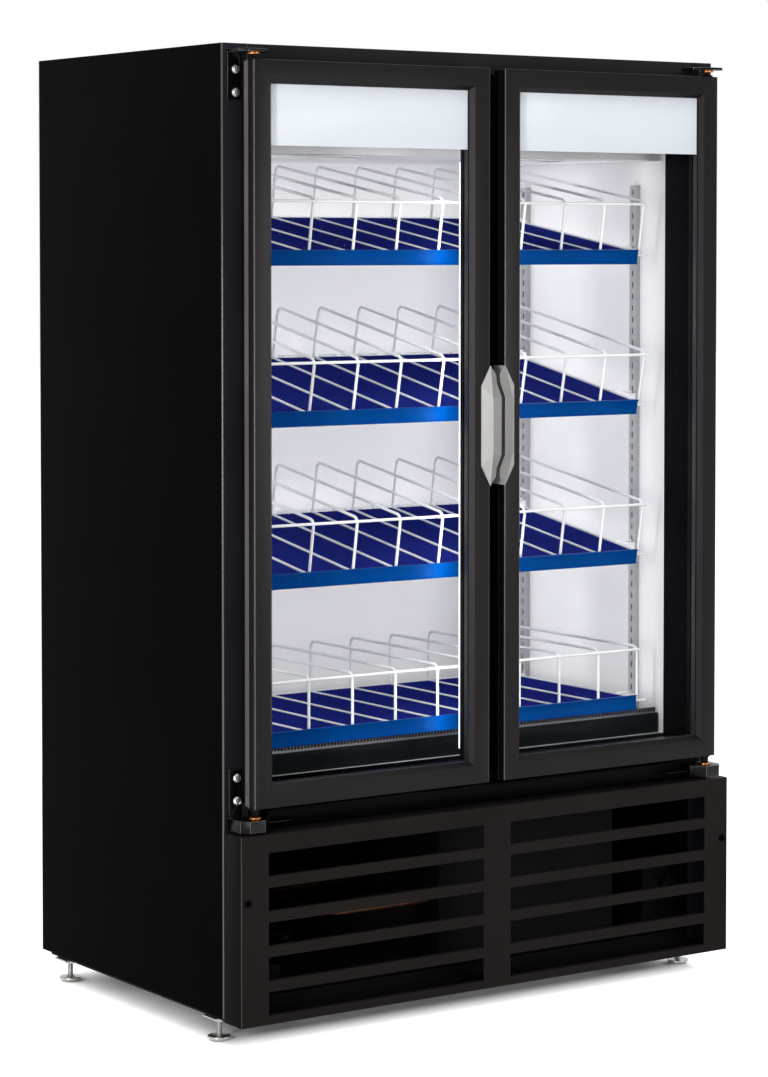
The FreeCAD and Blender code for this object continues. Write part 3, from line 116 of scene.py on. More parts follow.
# prepainted sheet of the two sides: deep even black, hardly any sheen
sideBlack = coated("black_prepainted_steel", "#050505", "#070707", (0.4, 0.52), 2.2, 0.05, specular=0.004)
# the same sheet on the front folds, painted a shade lighter and cooler than on the sides: painted light, as the folds
# face the light
foldBlackPaintedLit = coated("black_prepainted_front_fold_painted_lit", "#1e1e25", "#24242b", (0.36, 0.46), 2.2, 0.05, specular=0.04)
# where the sheet turns the corner the coat is painted lighter and glossier: a painted highlight that draws a light
# line
edgePaintedHighlight = coated("black_corner_painted_highlight", "#262626", "#2e2e2e", (0.18, 0.26), 2.0, 0.03, specular=0.9)
# powder coat on rails and brackets: satin black with a fine orange peel
blackPaint = coated("black_powder_coated_steel", "#0c0c0d", "#121213", (0.36, 0.5), 1.4, 0.1, specular=0.04)
# the same coat on the header and the rear cover, painted lighter than on the rails: painted light
blackCoatPaintedLighter = coated("black_powder_coat_painted_lighter", "#1f1e20", "#252426", (0.36, 0.48), 1.4, 0.1, specular=0.05)
# sill moulding: near black, soft broad sheen along its round nose
sillBlack = coated("black_stove_enamelled_sill", "#050506", "#08080a", (0.3, 0.4), 2.0, 0.05, specular=0.025)
# hinge castings: gloss black with small bright glints
hingeBlack = coated("black_gloss_enamelled_casting", "#070707", "#0b0b0b", (0.2, 0.3), 1.8, 0.08, specular=0.08)
# noses of the lower castings, painted a lighter brown black: painted light on the faces turned to the front
hingeNosePaintedLit = coated("casting_nose_painted_lit", "#1d1a19", "#252120", (0.26, 0.36), 1.2, 0.08, specular=0.12)
# corners of the castings, painted bright like bare metal: a painted highlight along their edges
hingeCornerPaintedHighlight = coated("casting_corner_painted_highlight", "#8c8a88", "#a4a2a0", (0.24, 0.34), 1.2, 0.05, metal=0.8)
# door uprights: warm charcoal anodising, its die lines drawn coarser than they are so that they show
charcoal = coated("charcoal_anodised_stile", "#0d0a0a", "#110d0d", (0.3, 0.38), 0.9, 0.05,
                  stretch=(1, 1, 0.05), specular=0.13)
# the same on the level bars, where the die lines run across
charcoalFlat = coated("charcoal_anodised_rail", "#0e0b0b", "#120f0f", (0.3, 0.38), 0.9, 0.05,
                      stretch=(0.05, 1, 1), specular=0.12)
# round arris of the uprights, painted lighter and glossier: a painted highlight that draws a soft light line
doorArrisPaintedHighlight = coated("charcoal_arris_painted_highlight", "#302d2c", "#3a3736", (0.22, 0.3), 0.9, 0.03, specular=0.6)
# edge channel beside the hinges: the same die lines, painted much paler as painted light on a side that faces the
# light
doorSidePaintedLit = coated("charcoal_hinge_side_painted_lit", "#605b59", "#6a6563", (0.36, 0.46), 0.9, 0.05,
                    stretch=(1, 1, 0.05), specular=0.1)
# grille front: warm charcoal powder coat with a fine peel
grilleCoat = coated("charcoal_powder_coated_grille", "#1b1817", "#201c1b", (0.42, 0.54), 1.6, 0.1, specular=0.03)
# the same coat on the returns of the grille, painted darker: painted shade
grilleReturnPaintedShade = coated("charcoal_return_painted_shade", "#0d0b0b", "#110f0f", (0.42, 0.54), 1.6, 0.1, specular=0.02)
# front corners of the grille: a painted highlight that draws a thin pale line
grilleCornerPaintedHighlight = coated("grille_corner_painted_highlight", "#2e2a29", "#363130", (0.24, 0.32), 1.2, 0.04, specular=0.3)
# liner and evaporator cover: clean white with a soft sheen
whiteEnamel = coated("white_enamelled_sheet", "#e2e2e4", "#e8e8ea", (0.28, 0.38), 3.0, 0.05, specular=0.3)
# nylon dip over wire: plump, smooth and bright white
whiteWire = coated("white_nylon_dipped_wire", "#eef0f1", "#f6f7f8", (0.25, 0.4), 0.8, 0.1, specular=0.4)
# slotted shelf standards: dull pale zinc
zincGrey = coated("zinc_plated_slotted_channel", "#a5a6a8", "#b6b7b9", (0.3, 0.42), 1.6, 0.05, metal=0.3)
# sawn foam: matt yellow with open cells
foam = coated("yellow_cut_polyurethane_foam", "#c9b06a", "#dcc788", (0.9, 1.0), 1.2, 0.8, cloudMm=30)
# extruded vinyl: soft cool black
blackPlastic = coated("black_extruded_vinyl", "#07070a", "#0b0b0f", (0.32, 0.42), 0.9, 0.06, specular=0.02)
# vacuum formed sheet: smooth black that mirrors faintly
ductPlastic = coated("gloss_black_vacuum_formed_plastic", "#14181a", "#1a1e20", (0.2, 0.23), 60, 0.01, specular=0.05)
# extruded price rail: clear even blue
bluePlastic = coated("blue_extruded_price_rail", "#003e85", "#00438b", (0.24, 0.34), 1.5, 0.03, specular=0.02)
# moulded glides: deep blue without sheen
navyPlastic = coated("navy_moulded_glide", "#1a2370", "#20297a", (0.3, 0.42), 1.0, 0.06, specular=0.0)
# opal acrylic: cool smooth white
signPanel = coated("white_opal_acrylic", "#e4e9f0", "#e8edf4", (0.14, 0.2), 6.0, 0.02, specular=0.1)
# door gasket: dull black
rubber = coated("black_magnetic_gasket_rubber", "#0a0a0a", "#101010", (0.55, 0.7), 0.7, 0.2, specular=0.05)
# pressed and painted sheet: satin grey, each facet a flat tone
greyHandle = coated("satin_grey_pressed_handle", "#aeacaa", "#b8b6b4", (0.34, 0.44), 0.5, 0.05, specular=0.4)
# facets that turn to the meeting edge: the same paint in a darker tone, a painted shade
handleFacetPaintedShade = coated("satin_grey_inner_facet_painted_shade", "#817f7e", "#8b8987", (0.36, 0.46), 0.5, 0.05, specular=0.3)
# plated feet: bright and slightly hazy
chrome = coated("bright_nickel_plate", "#aeaeab", "#c0c0bd", (0.2, 0.3), 2.0, 0.03, metal=0.85)
# bolt heads: the brightest metal on the front
boltZinc = coated("bright_zinc_plated_bolt", "#f0f0f0", "#f8f8f8", (0.14, 0.22), 1.0, 0.05, metal=0.9)
# sintered bush: warm, grainy and dull
bronze = coated("sintered_bronze_bush", "#9a5f34", "#b87a48", (0.3, 0.42), 0.5, 0.1, metal=1.0)
# turned pins and rods: oiled black
blackSteel = coated("oil_blacked_turned_steel", "#0c0c0c", "#121213", (0.25, 0.36), 0.7, 0.06, specular=0.06)
# condenser fins: matt black dip
blackFins = coated("black_dipped_aluminium_fins", "#08080a", "#0c0c0d", (0.4, 0.55), 1.0, 0.1, specular=0.04)
# drawn tube: brown, dulled by handling
copper = coated("dulled_drawn_copper_tube", "#3e2416", "#5a3520", (0.42, 0.56), 1.0, 0.08, cloudMm=40, metal=0.8)
# evaporator fins: pale stamped metal
finMetal = coated("stamped_aluminium_fins", "#b6babd", "#c9cdd0", (0.34, 0.5), 0.8, 0.1, metal=0.9)
# strip on the duct: dull grey metal
stripMetal = coated("perforated_dull_aluminium_strip", "#74757c", "#83848b", (0.34, 0.46), 1.2, 0.04, metal=0.4)
# spacer between the panes: dark and even
spacerDark = coated("dark_anodised_spacer", "#3c4043", "#4b4f52", (0.3, 0.4), 1.2, 0.04, metal=0.6)
# compressor shell: thick black dip with a slight peel
compressorBlack = coated("black_dipped_pressed_steel", "#0b0b0c", "#121213", (0.3, 0.44), 2.0, 0.1, specular=0.1)
# compressor feet: dull grey rubber
grommetRubber = coated("grey_moulded_rubber", "#202021", "#2a2a2b", (0.6, 0.75), 0.8, 0.2, specular=0.1)
# holes of the duct strip: shallow dents coloured with a painted shade so that they look dark
stripShade = coated("shaded_strip_perforation", "#2f3036", "#3a3b41", (0.7, 0.8), 1.0, 0.05, specular=0.0)

# hot dipped zinc: flat crystal spangles a thumb nail wide, each its own grey
galvanised, tree, shader = blank("spangled_galvanised_sheet")
coord = add(tree, "TexCoord").outputs["Object"]
crystals = add(tree, "TexVoronoi", Vector=coord, Scale=perMm(15)).outputs["Color"]
tilt = add(tree, "RGBToBW", Color=crystals).outputs["Val"]
tree.links.new(ramp(tree, tilt, linear("#9aa0a3"), linear("#abb1b4"), 0.2, 0.8), shader.inputs["Base Color"])
tree.links.new(span(tree, tilt, 0.34, 0.46), shader.inputs["Roughness"])
shader.inputs["Metallic"].default_value = 0.85

# opal diffuser over a row of lamps: white all along with a faint beat at each lamp
diffuser, tree, shader = blank("opal_led_diffuser")
coord = add(tree, "TexCoord").outputs["Object"]
strip = add(tree, "TexWave", Vector=coord, bands_direction="Z", Scale=perMm(16) / 6.2832).outputs["Fac"]
tree.links.new(ramp(tree, strip, linear("#f1f5fa"), linear("#ffffff")), shader.inputs["Base Color"])
tree.links.new(ramp(tree, strip, linear("#e9f1ff"), linear("#ffffff")), shader.inputs["Emission Color"])
shader.inputs["Emission Strength"].default_value = 1.1
shader.inputs["Roughness"].default_value = 0.4

# float glass: clear straight on, a thin mirror at a slant
glass, tree, shader = blank("clear_float_glass")
facing = add(tree, "LayerWeight", Blend=0.5).outputs["Facing"]
steep = add(tree, "Math", operation="POWER", _0=facing, _1=5.0).outputs["Value"]
mirror = add(tree, "Math", operation="MULTIPLY", _0=steep, _1=0.5)
coord = add(tree, "TexCoord").outputs["Object"]
ripple = add(tree, "TexNoise", Vector=coord, Scale=perMm(240), Detail=1.0).outputs["Fac"]
tree.links.new(span(tree, ripple, 0.015, 0.03), shader.inputs["Roughness"])
shader.inputs["Base Color"].default_value = linear("#eef6f3")
shader.inputs["Metallic"].default_value = 1.0
tree.links.new(mirror.outputs["Value"], shader.inputs["Alpha"])

bySlot = {"black_paint": blackPaint, "charcoal_frame": charcoal, "white_paint": whiteEnamel, "galvanised": galvanised,
          "foam": foam, "black_plastic": blackPlastic, "duct_plastic": ductPlastic, "light_plastic": diffuser,
          "blue_plastic": bluePlastic, "navy_plastic": navyPlastic, "white_wire": whiteWire, "glass": glass,
          "sign": signPanel, "gasket_rubber": rubber, "grey_handle": greyHandle, "chrome": chrome, "bronze": bronze,
          "black_steel": blackSteel, "black_fins": blackFins, "copper": copper, "fin_aluminium": finMetal,
          "compressor_black": compressorBlack, "grommet_rubber": grommetRubber}
for nodeName, node in cad.items():
    node.data.materials.clear()
    node.data.materials.append(bySlot[slotOf[nodeName]])
print("painted")


def shaped(name, bm, body, slotName, mats=(), nodes=(), soft=0.0, edgeMat=None, crease=38):
    mesh = bpy.data.meshes.new(name)
    bm.to_mesh(mesh)
    bm.free()
    mesh.polygons.foreach_set("use_smooth", [True] * len(mesh.polygons))
    for mat in mats or [bySlot[slotName]]:
        mesh.materials.append(mat)
    piece = bpy.data.objects.new(name, mesh)
    bpy.context.scene.collection.objects.link(piece)
    if soft:
        edge = piece.modifiers.new("soft_edges", "BEVEL")
        edge.width = soft * mm
        edge.segments = 2
        edge.limit_method = "ANGLE"
        edge.angle_limit = math.radians(crease)
        edge.harden_normals = True
        if edgeMat:
            mesh.materials.append(edgeMat)
            edge.material = len(mesh.materials) - 1
    else:
        mesh.set_sharp_from_angle(angle=math.radians(crease))
    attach(piece, body)
    if nodes:
        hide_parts(*nodes)
    return piece


def boxed(bm, low, high):
    middle = [(a + b) / 2 * mm for a, b in zip(low, high)]
    size = [(b - a) * mm for a, b in zip(low, high)]
    bmesh.ops.create_cube(bm, size=1, matrix=Matrix.Translation(middle) @ Matrix.Diagonal(size + [1]))


def rod(bm, start, end, radius, sides=10):
    start, end = Vector(start) * mm, Vector(end) * mm
    run = end - start
    turn = run.to_track_quat("Z", "Y").to_matrix().to_4x4()
    made = bmesh.ops.create_cone(bm, cap_ends=True, segments=sides, radius1=radius * mm, radius2=radius * mm,
                                 depth=run.length, matrix=Matrix.Translation((start + end) / 2) @ turn)
    return made["verts"]


# pressed and moulded parts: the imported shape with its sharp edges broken, in mm
brokenEdges = {"left_side_panel": 0.5, "right_side_panel": 0.5, "top_panel": 1.0, "grille_panel": 0.5,
               "sill_rail": 1.0, "hinge_brackets": 0.9, "mullion": 0.8, "handle_left": 0.4, "handle_right": 0.4,
               "price_rails": 0.4, "bottom_duct": 0.8, "evaporator_cover": 0.5, "control_box": 1.5,
               "thermostat_knob": 0.6, "light_bars": 0.6, "condensate_tray": 0.7, "sign_panel_left": 0.3,
               "sign_panel_right": 0.3, "hinge_bushes": 0.5, "hinge_pins_left": 0.5, "hinge_pins_right": 0.5,
               "evaporator_fan_left": 0.4, "evaporator_fan_right": 0.4, "condenser_fan": 0.4, "breaker_strips": 0.6,
               "machine_bay_cover": 0.4}
sidePanel = [sideBlack, foldBlackPaintedLit, edgePaintedHighlight]
handle = [greyHandle, handleFacetPaintedShade]
# some finishes here are painted light: lit and shaded copies of a coat and painted highlights, chosen by face
finishOf = {"left_side_panel": sidePanel, "right_side_panel": sidePanel, "sill_rail": [sillBlack],
            "hinge_brackets": [hingeBlack, hingeNosePaintedLit], "grille_panel": [grilleCoat, grilleReturnPaintedShade, grilleCornerPaintedHighlight],
            "top_panel": [blackCoatPaintedLighter], "handle_left": handle, "handle_right": handle,
            "mullion": [sillBlack], "machine_bay_cover": [blackCoatPaintedLighter]}
# bevels coloured as painted highlights: on the hinge castings and along the header
edgeOf = {"hinge_brackets": hingeCornerPaintedHighlight, "top_panel": edgePaintedHighlight}
creaseOf = {"handle_left": 5, "handle_right": 5}  # degrees, so that shallow facets stay crisp
hingeNose = {"below": 470}
grille = {"side": 618, "corner": 618.2, "face": -395.1, "round": 1.2}
for nodeName, width in brokenEdges.items():
    bm = bmesh.new()
    bm.from_mesh(cad[nodeName].data)
    bmesh.ops.remove_doubles(bm, verts=bm.verts, dist=0.005 * mm)
    bmesh.ops.dissolve_limit(bm, angle_limit=math.radians(0.5), verts=bm.verts, edges=bm.edges)
    # front folds get the coat painted lighter, their round corners a painted highlight
    if nodeName.endswith("side_panel"):  # front fold and its round corner
        for face in bm.faces:
            if face.normal.y < -0.1 and abs(face.normal.x) < 0.98:
                face.material_index = 1 if face.normal.y < -0.97 else 2
    # front faces of the lower block take the painted light
    if nodeName == "hinge_brackets":  # nose of the lower block
        for face in bm.faces:
            if face.normal.y < -0.9 and face.calc_center_median().z < hingeNose["below"] * mm:
                face.material_index = 1
    if nodeName == "grille_panel":  # side returns in painted shade and the two front corners with a painted highlight
        for face in bm.faces:
            atSide = abs(face.calc_center_median().x) > grille["side"] * mm
            face.material_index = 1 if abs(face.normal.x) > 0.9 and atSide else 0
        corners = [e for e in bm.edges if abs(e.verts[0].co.x - e.verts[1].co.x) < mm and all(
            abs(v.co.x) > grille["corner"] * mm and v.co.y < grille["face"] * mm for v in e.verts)]
        highlightFaces = bmesh.ops.bevel(bm, geom=corners, offset=grille["round"] * mm, offset_type="OFFSET",
                                 affect="EDGES", segments=3, profile=0.5, material=-1)["faces"]
        for face in highlightFaces:
            face.material_index = 2
    # the facets turned to the meeting edge take the painted shade
    if nodeName.startswith("handle"):  # facets turned to the meeting edge are darker than the outer ones
        outward = -1 if nodeName == "handle_left" else 1
        for face in bm.faces:
            face.material_index = 1 if face.normal.x * outward < 0.2 and face.normal.y < -0.3 else 0
    slotName = "black_paint" if nodeName == "machine_bay_cover" else slotOf[nodeName]
    shaped(nodeName + "_finished", bm, bodyOf[nodeName], slotName, finishOf.get(nodeName), [nodeName], width,
           edgeOf.get(nodeName), creaseOf.get(nodeName, 38))
cad["shelf_standards"].data.materials[0] = zincGrey
print("broken edges")


def mitred(low, high, profile):
    bm = bmesh.new()
    rings = []
    for farX, farZ in ((0, 0), (1, 0), (1, 1), (0, 1)):
        ring = []
        for inset, depth in profile:
            x = high[0] - inset * mm if farX else low[0] + inset * mm
            z = high[2] - inset * mm if farZ else low[2] + inset * mm
            ring.append(bm.verts.new((x, depth * mm, z)))
        rings.append([bm.edges.new(pair) for pair in zip(ring, ring[1:] + ring[:1])])
    for index in range(4):
        bar = bmesh.ops.bridge_loops(bm, edges=rings[index] + rings[(index + 1) % 4])["faces"]
        for face in bar:
            face.material_index = 1 - index % 2  # the level bars come first and third
    bmesh.ops.recalc_face_normals(bm, faces=bm.faces)
    return bm


door = {
    # across the bar from its outer edge, and depth: round arris, face, bevel, glass pocket, step, edge channel
    "frame": [(0, -390.8), (0.27, -391.8), (1, -392.53), (2, -392.8), (37, -392.8), (46, -382.8), (38, -382.8),
              (38, -362.8), (46, -362.8), (46, -353.2), (2, -353.2), (2, -368.2), (0, -368.2), (0, -371.5),
              (1.6, -371.5), (1.6, -388.5), (0, -388.5)],
    "spacer": [(38.5, -378.8), (46, -378.8), (46, -366.8), (38.5, -366.8)],
    "gasket": [(8, -353.2), (24, -353.2), (21, -342.45), (24, -331.7), (8, -331.7), (11, -342.45)],
    "panes": [(-382.8, -378.8), (-366.8, -362.8)],
    "paneInset": 38.5,
}
for side, sign in (("left", -1), ("right", 1)):
    body = side + "_door"
    low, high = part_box("door_frame_" + side)
    bm = mitred(low, high, door["frame"])
    # the arris of the uprights takes the painted highlight, their outer side beside the hinges the paler painted
    # light
    for face in bm.faces:
        middle = face.calc_center_median()
        if -392.7 * mm < middle.y < -390.7 * mm and face.material_index == 0:
            face.material_index = 2
        elif face.normal.x * sign > 0.9 and middle.y > -372 * mm and abs(middle.x) > 0.58:
            face.material_index = 3
    shaped(f"door_frame_{side}_finished", bm, body, "charcoal_frame", [charcoal, charcoalFlat, doorArrisPaintedHighlight, doorSidePaintedLit],
           ["door_frame_" + side], 0.5)
    bm = mitred(low, high, door["spacer"])
    shaped(f"glass_spacer_{side}", bm, body, "fin_aluminium", [spacerDark, spacerDark], (), 0.4)
    bm = mitred(low, high, door["gasket"])
    shaped(f"door_gasket_{side}", bm, body, "gasket_rubber", [rubber, rubber], ["gasket_" + side], 1.0)
    bm = bmesh.new()
    inset = door["paneInset"]
    for near, back in door["panes"]:
        boxed(bm, (low[0] / mm + inset, near, low[2] / mm + inset),
              (high[0] / mm - inset, back, high[2] / mm - inset))
    shaped(f"glass_panes_{side}", bm, body, "glass", (), ["glass_unit_" + side], 0.6)
print("doors")

foot = {"across": 590, "front": -265.2, "rear": 345.8, "stud": 5.9, "core": 5.2, "pitch": 2.0, "turns": 14,
        "perTurn": 20, "threadFrom": 11.4, "root": 0.3, "low": 9, "top": 79, "nut": (11, 38, 46), "nutRim": 1.0,
        "pad": [(0, 0), (17.4, 0), (18, 0.5), (23.2, 5.4), (23.5, 6.0), (23.5, 8.8), (23.0, 9.6), (21.5, 9.9),
                (9.9, 10.2), (8.4, 10.8), (7.4, 11.8), (6.4, 12.2), (0, 12.2)]}


def levellingFoot(x, y):
    bm = bmesh.new()
    ring = [bm.verts.new((r * mm, 0, z * mm)) for r, z in foot["pad"]]
    edges = [bm.edges.new(pair) for pair in zip(ring, ring[1:])]
    bmesh.ops.spin(bm, geom=ring + edges, cent=(0, 0, 0), axis=(0, 0, 1), angle=2 * math.pi, steps=40, use_merge=True)
    bmesh.ops.remove_doubles(bm, verts=bm.verts, dist=0.01 * mm)
    rod(bm, (0, 0, foot["low"]), (0, 0, foot["top"]), foot["core"], 20)
    base, pitch, root = foot["threadFrom"], foot["pitch"], foot["core"] - foot["root"]
    tooth = [bm.verts.new((r * mm, 0, z * mm)) for r, z in
             ((root, base), (foot["stud"], base + pitch / 2), (root, base + pitch))]
    edges = [bm.edges.new(pair) for pair in zip(tooth, tooth[1:])]
    bmesh.ops.spin(bm, geom=tooth + edges, cent=(0, 0, 0), axis=(0, 0, 1),
                   dvec=(0, 0, pitch * mm / foot["perTurn"]), angle=2 * math.pi * foot["turns"],
                   steps=foot["perTurn"] * foot["turns"])
    radius, low, high = foot["nut"]
    nut = rod(bm, (0, 0, low), (0, 0, high), radius, 6)
    rims = {e for v in nut for e in v.link_edges if abs(e.verts[0].co.z - e.verts[1].co.z) < 0.1 * mm}
    bmesh.ops.bevel(bm, geom=list(rims), offset=foot["nutRim"] * mm, offset_type="OFFSET", affect="EDGES", segments=2,
                    profile=0.5, material=-1)
    bmesh.ops.remove_doubles(bm, verts=bm.verts, dist=0.002 * mm)
    bmesh.ops.recalc_face_normals(bm, faces=bm.faces)
    bmesh.ops.translate(bm, verts=bm.verts, vec=(x * mm, y * mm, 0))
    return bm


for end in ("front", "rear"):
    for side, sign in (("left", -1), ("right", 1)):
        bm = levellingFoot(sign * foot["across"], foot[end])
        shaped(f"levelling_foot_{end}_{side}", bm, f"{end}_{side}_foot", "chrome", (), [f"foot_{end}_{side}"])
print("feet")

bolt = {"across": 590.5, "heights": (1918, 1873, 488, 533), "face": -335.2, "washer": (8.8, 1.0), "head": (7.9, 5),
        "crown": 0.9}
bm = bmesh.new()
for sign in (-1, 1):
    for height in bolt["heights"]:
        x, y = sign * bolt["across"], bolt["face"]
        (washerRadius, washerHigh), (headRadius, headHigh) = bolt["washer"], bolt["head"]
        rod(bm, (x, y, height), (x, y - washerHigh, height), washerRadius, 28)
        head = rod(bm, (x, y - washerHigh, height), (x, y - headHigh, height), headRadius, 6)
        crown = {e for v in head for e in v.link_edges
                 if max(e.verts[0].co.y, e.verts[1].co.y) < (y - headHigh + 0.1) * mm}
        bmesh.ops.bevel(bm, geom=list(crown), offset=bolt["crown"] * mm, offset_type="OFFSET", affect="EDGES",
                        segments=3, profile=0.5, material=-1)
shaped("hinge_bolt_heads", bm, "cabinet", "chrome", [boltZinc], ["hinge_bolts"])

grilleScrew = {"across": 603, "height": 296, "face": -395.2, "radius": 7, "proud": 3, "socket": 4.0, "depth": 2.4}
bm = bmesh.new()
for sign in (-1, 1):
    x, y, z = sign * grilleScrew["across"], grilleScrew["face"], grilleScrew["height"]
    head = rod(bm, (x, y, z), (x, y - grilleScrew["proud"], z), grilleScrew["radius"], 32)
    top = [f for f in {f for v in head for f in v.link_faces} if f.normal.y < -0.9]
    bmesh.ops.inset_region(bm, faces=top, thickness=(grilleScrew["radius"] - grilleScrew["socket"]) * mm)
    pit = bmesh.ops.extrude_face_region(bm, geom=top)["geom"]
    bmesh.ops.translate(bm, verts=[g for g in pit if isinstance(g, bmesh.types.BMVert)],
                        vec=(0, grilleScrew["depth"] * mm, 0))
    bmesh.ops.delete(bm, geom=top, context="FACES")
bmesh.ops.recalc_face_normals(bm, faces=bm.faces)
shaped("grille_screw_heads", bm, "cabinet", "black_paint", [sideBlack], ["grille_screws"], 0.5)
print("fasteners")

deck = {"start": -263.2, "wire": 2.5, "length": 519, "lanePitch": 106.2, "support": 18,
        "bars": [(2.5, 499.9), (113.5, 546), (315, 477.9), (516.5, 546)],
        "levels": [(1552, 9.2), (1229, 11.4), (904.5, 9.4), (586.5, 0)]}
dividerX = [deck["lanePitch"] * (i - 4.5) for i in range(10)]
supportX = [deck["lanePitch"] * (i - 4) + s * deck["support"] for i in range(9) for s in (-1, 1)]
for level, (height, tilt) in enumerate(deck["levels"], 1):
    bm = bmesh.new()
    radius = deck["wire"]
    for x in dividerX + supportX:
        rod(bm, (x, radius, radius), (x, deck["length"] - 0.5, radius), radius - 0.02)
    for y, half in deck["bars"]:
        rod(bm, (-half, y, radius), (half, y, radius), radius)
    seat = Matrix.Translation((0, deck["start"] * mm, height * mm)) @ Matrix.Rotation(math.radians(tilt), 4, "X")
    bmesh.ops.transform(bm, matrix=seat, verts=bm.verts)
    shaped(f"deck_wires_{level}", bm, "cabinet", "white_wire", (), [f"shelf_deck_{level}"])
print("decks")

# perforated upstand along the top front edge of the bottom duct
lip = {"half": 548, "low": 553, "high": 566, "front": -236.0, "back": -234.4, "cells": 136,
       "rim": 1.2, "row": (556.5, 565.2), "proud": 0.3, "sunk": 0.25}
bm = bmesh.new()
boxed(bm, (-lip["half"], lip["front"], lip["low"]), (lip["half"], lip["back"], lip["high"]))
shaped("duct_upstand", bm, "cabinet", "fin_aluminium", [stripMetal], (), 0.3)
bm = bmesh.new()
bmesh.ops.create_grid(bm, x_segments=lip["cells"], y_segments=1, size=0.5)
rowLow, rowHigh = lip["row"]
room = Matrix.Diagonal((2 * lip["half"] * mm, (rowHigh - rowLow) * mm, 1, 1))
middle = Vector((0, lip["front"] - lip["proud"], (rowLow + rowHigh) / 2)) * mm
stand = Matrix.Translation(middle) @ Matrix.Rotation(math.radians(90), 4, "X")
bmesh.ops.transform(bm, matrix=stand @ room, verts=bm.verts)
cells = list(bm.faces)
bmesh.ops.inset_individual(bm, faces=cells, thickness=lip["rim"] * mm)
# the sunk cells take the painted shade of the holes
for face in cells:
    face.material_index = 1
bmesh.ops.translate(bm, verts=list({v for f in cells for v in f.verts}), vec=(0, lip["sunk"] * mm, 0))
shaped("duct_upstand_holes", bm, "cabinet", "fin_aluminium", [stripMetal, stripShade])
print("duct upstand")

# inward louvre hoods behind the slots of the rear cover
louvre = {"centres": (-300, 300), "half": 136, "tops": [380 - 32 * i for i in range(8)], "sheet": 0.8,
          "section": [(413.2, 1.5), (410.5, 0.5), (405.5, -5), (403.5, -13)]}
bm = bmesh.new()
for centre in louvre["centres"]:
    for top in louvre["tops"]:
        line = [bm.verts.new(((centre - louvre["half"]) * mm, y * mm, (top + z) * mm)) for y, z in louvre["section"]]
        edges = [bm.edges.new(pair) for pair in zip(line, line[1:])]
        made = bmesh.ops.extrude_edge_only(bm, edges=edges)["geom"]
        bmesh.ops.translate(bm, verts=[g for g in made if isinstance(g, bmesh.types.BMVert)],
                            vec=(2 * louvre["half"] * mm, 0, 0))
# hoods in the coat painted lighter, as on the cover
hoods = shaped("rear_louvre_hoods", bm, "cabinet", "black_paint", [blackCoatPaintedLighter])
wall = hoods.modifiers.new("sheet", "SOLIDIFY")
wall.thickness = louvre["sheet"] * mm
wall.offset = 0.0
print("louvres")

# finger guards under the two evaporator fans: wire rings on three stays
guard = {"across": 260, "middle": -96.2, "level": 1758.4, "rings": range(14, 111, 12), "wire": 1.3,
         "stays": 3, "weld": 0.4}
bm = bmesh.new()
for sign in (-1, 1):
    centre = Vector((sign * guard["across"], guard["middle"], guard["level"]))
    for ring in guard["rings"]:
        place = Matrix.Translation((centre + Vector((ring, 0, 0))) * mm) @ Matrix.Rotation(math.radians(90), 4, "X")
        wire = bmesh.ops.create_circle(bm, segments=8, radius=guard["wire"] * mm, matrix=place)["verts"]
        loop = list({e for v in wire for e in v.link_edges})
        bmesh.ops.spin(bm, geom=wire + loop, cent=centre * mm, axis=(0, 0, 1), dvec=(0, 0, 0), angle=2 * math.pi,
                       steps=48, use_merge=True, use_duplicate=False)
    for stay in range(guard["stays"]):
        turn = math.pi * stay / guard["stays"]
        reach = Vector((math.cos(turn), math.sin(turn), 0)) * max(guard["rings"])
        drop = Vector((0, 0, -2 * guard["wire"] + guard["weld"]))
        rod(bm, centre + drop - reach, centre + drop + reach, guard["wire"], 8)
bmesh.ops.recalc_face_normals(bm, faces=bm.faces)
shaped("evaporator_fan_guards", bm, "cabinet", "white_wire")
print("fan guards")

# folded upstand round the back and ends of the grille pan, which closes it against the base
upstand = {"outer": 616.8, "front": -393.8, "back": -331.3, "sheet": 1.2, "low": 53.6, "high": 70}
inner = upstand["outer"] - upstand["sheet"]
plan = [(-upstand["outer"], upstand["front"]), (-upstand["outer"], upstand["back"]),
        (upstand["outer"], upstand["back"]), (upstand["outer"], upstand["front"]), (inner, upstand["front"]),
        (inner, upstand["back"] - upstand["sheet"]), (-inner, upstand["back"] - upstand["sheet"]),
        (-inner, upstand["front"])]
bm = bmesh.new()
base = bm.faces.new([bm.verts.new((x * mm, y * mm, upstand["low"] * mm)) for x, y in plan])
made = bmesh.ops.extrude_face_region(bm, geom=[base])["geom"]
bmesh.ops.translate(bm, verts=[g for g in made if isinstance(g, bmesh.types.BMVert)],
                    vec=(0, 0, (upstand["high"] - upstand["low"]) * mm))
bmesh.ops.recalc_face_normals(bm, faces=bm.faces)
# in the painted shade of the grille returns
shaped("grille_pan_upstand", bm, "cabinet", "charcoal_frame", [grilleReturnPaintedShade], (), 0.3)

# sealing bead in the joint between the front folds and the breaker strips
bead = {"radius": 1.4, "depth": -330.0, "sides": 8}
low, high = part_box("breaker_strips")
turns = [2 * math.pi * i / bead["sides"] for i in range(bead["sides"])]
section = [(bead["radius"] * math.cos(t), bead["depth"] + bead["radius"] * math.sin(t)) for t in turns]
bm = mitred(low, high, section)
shaped("cavity_joint_bead", bm, "cabinet", "gasket_rubber", [rubber, rubber])
print("grille pan and bead")

floorMesh = bpy.data.meshes.new("studio_floor")
bm = bmesh.new()
bmesh.ops.create_grid(bm, x_segments=1, y_segments=1, size=30)
bm.to_mesh(floorMesh)
bm.free()
floor = bpy.data.objects.new("studio_floor", floorMesh)
bpy.context.scene.collection.objects.link(floor)


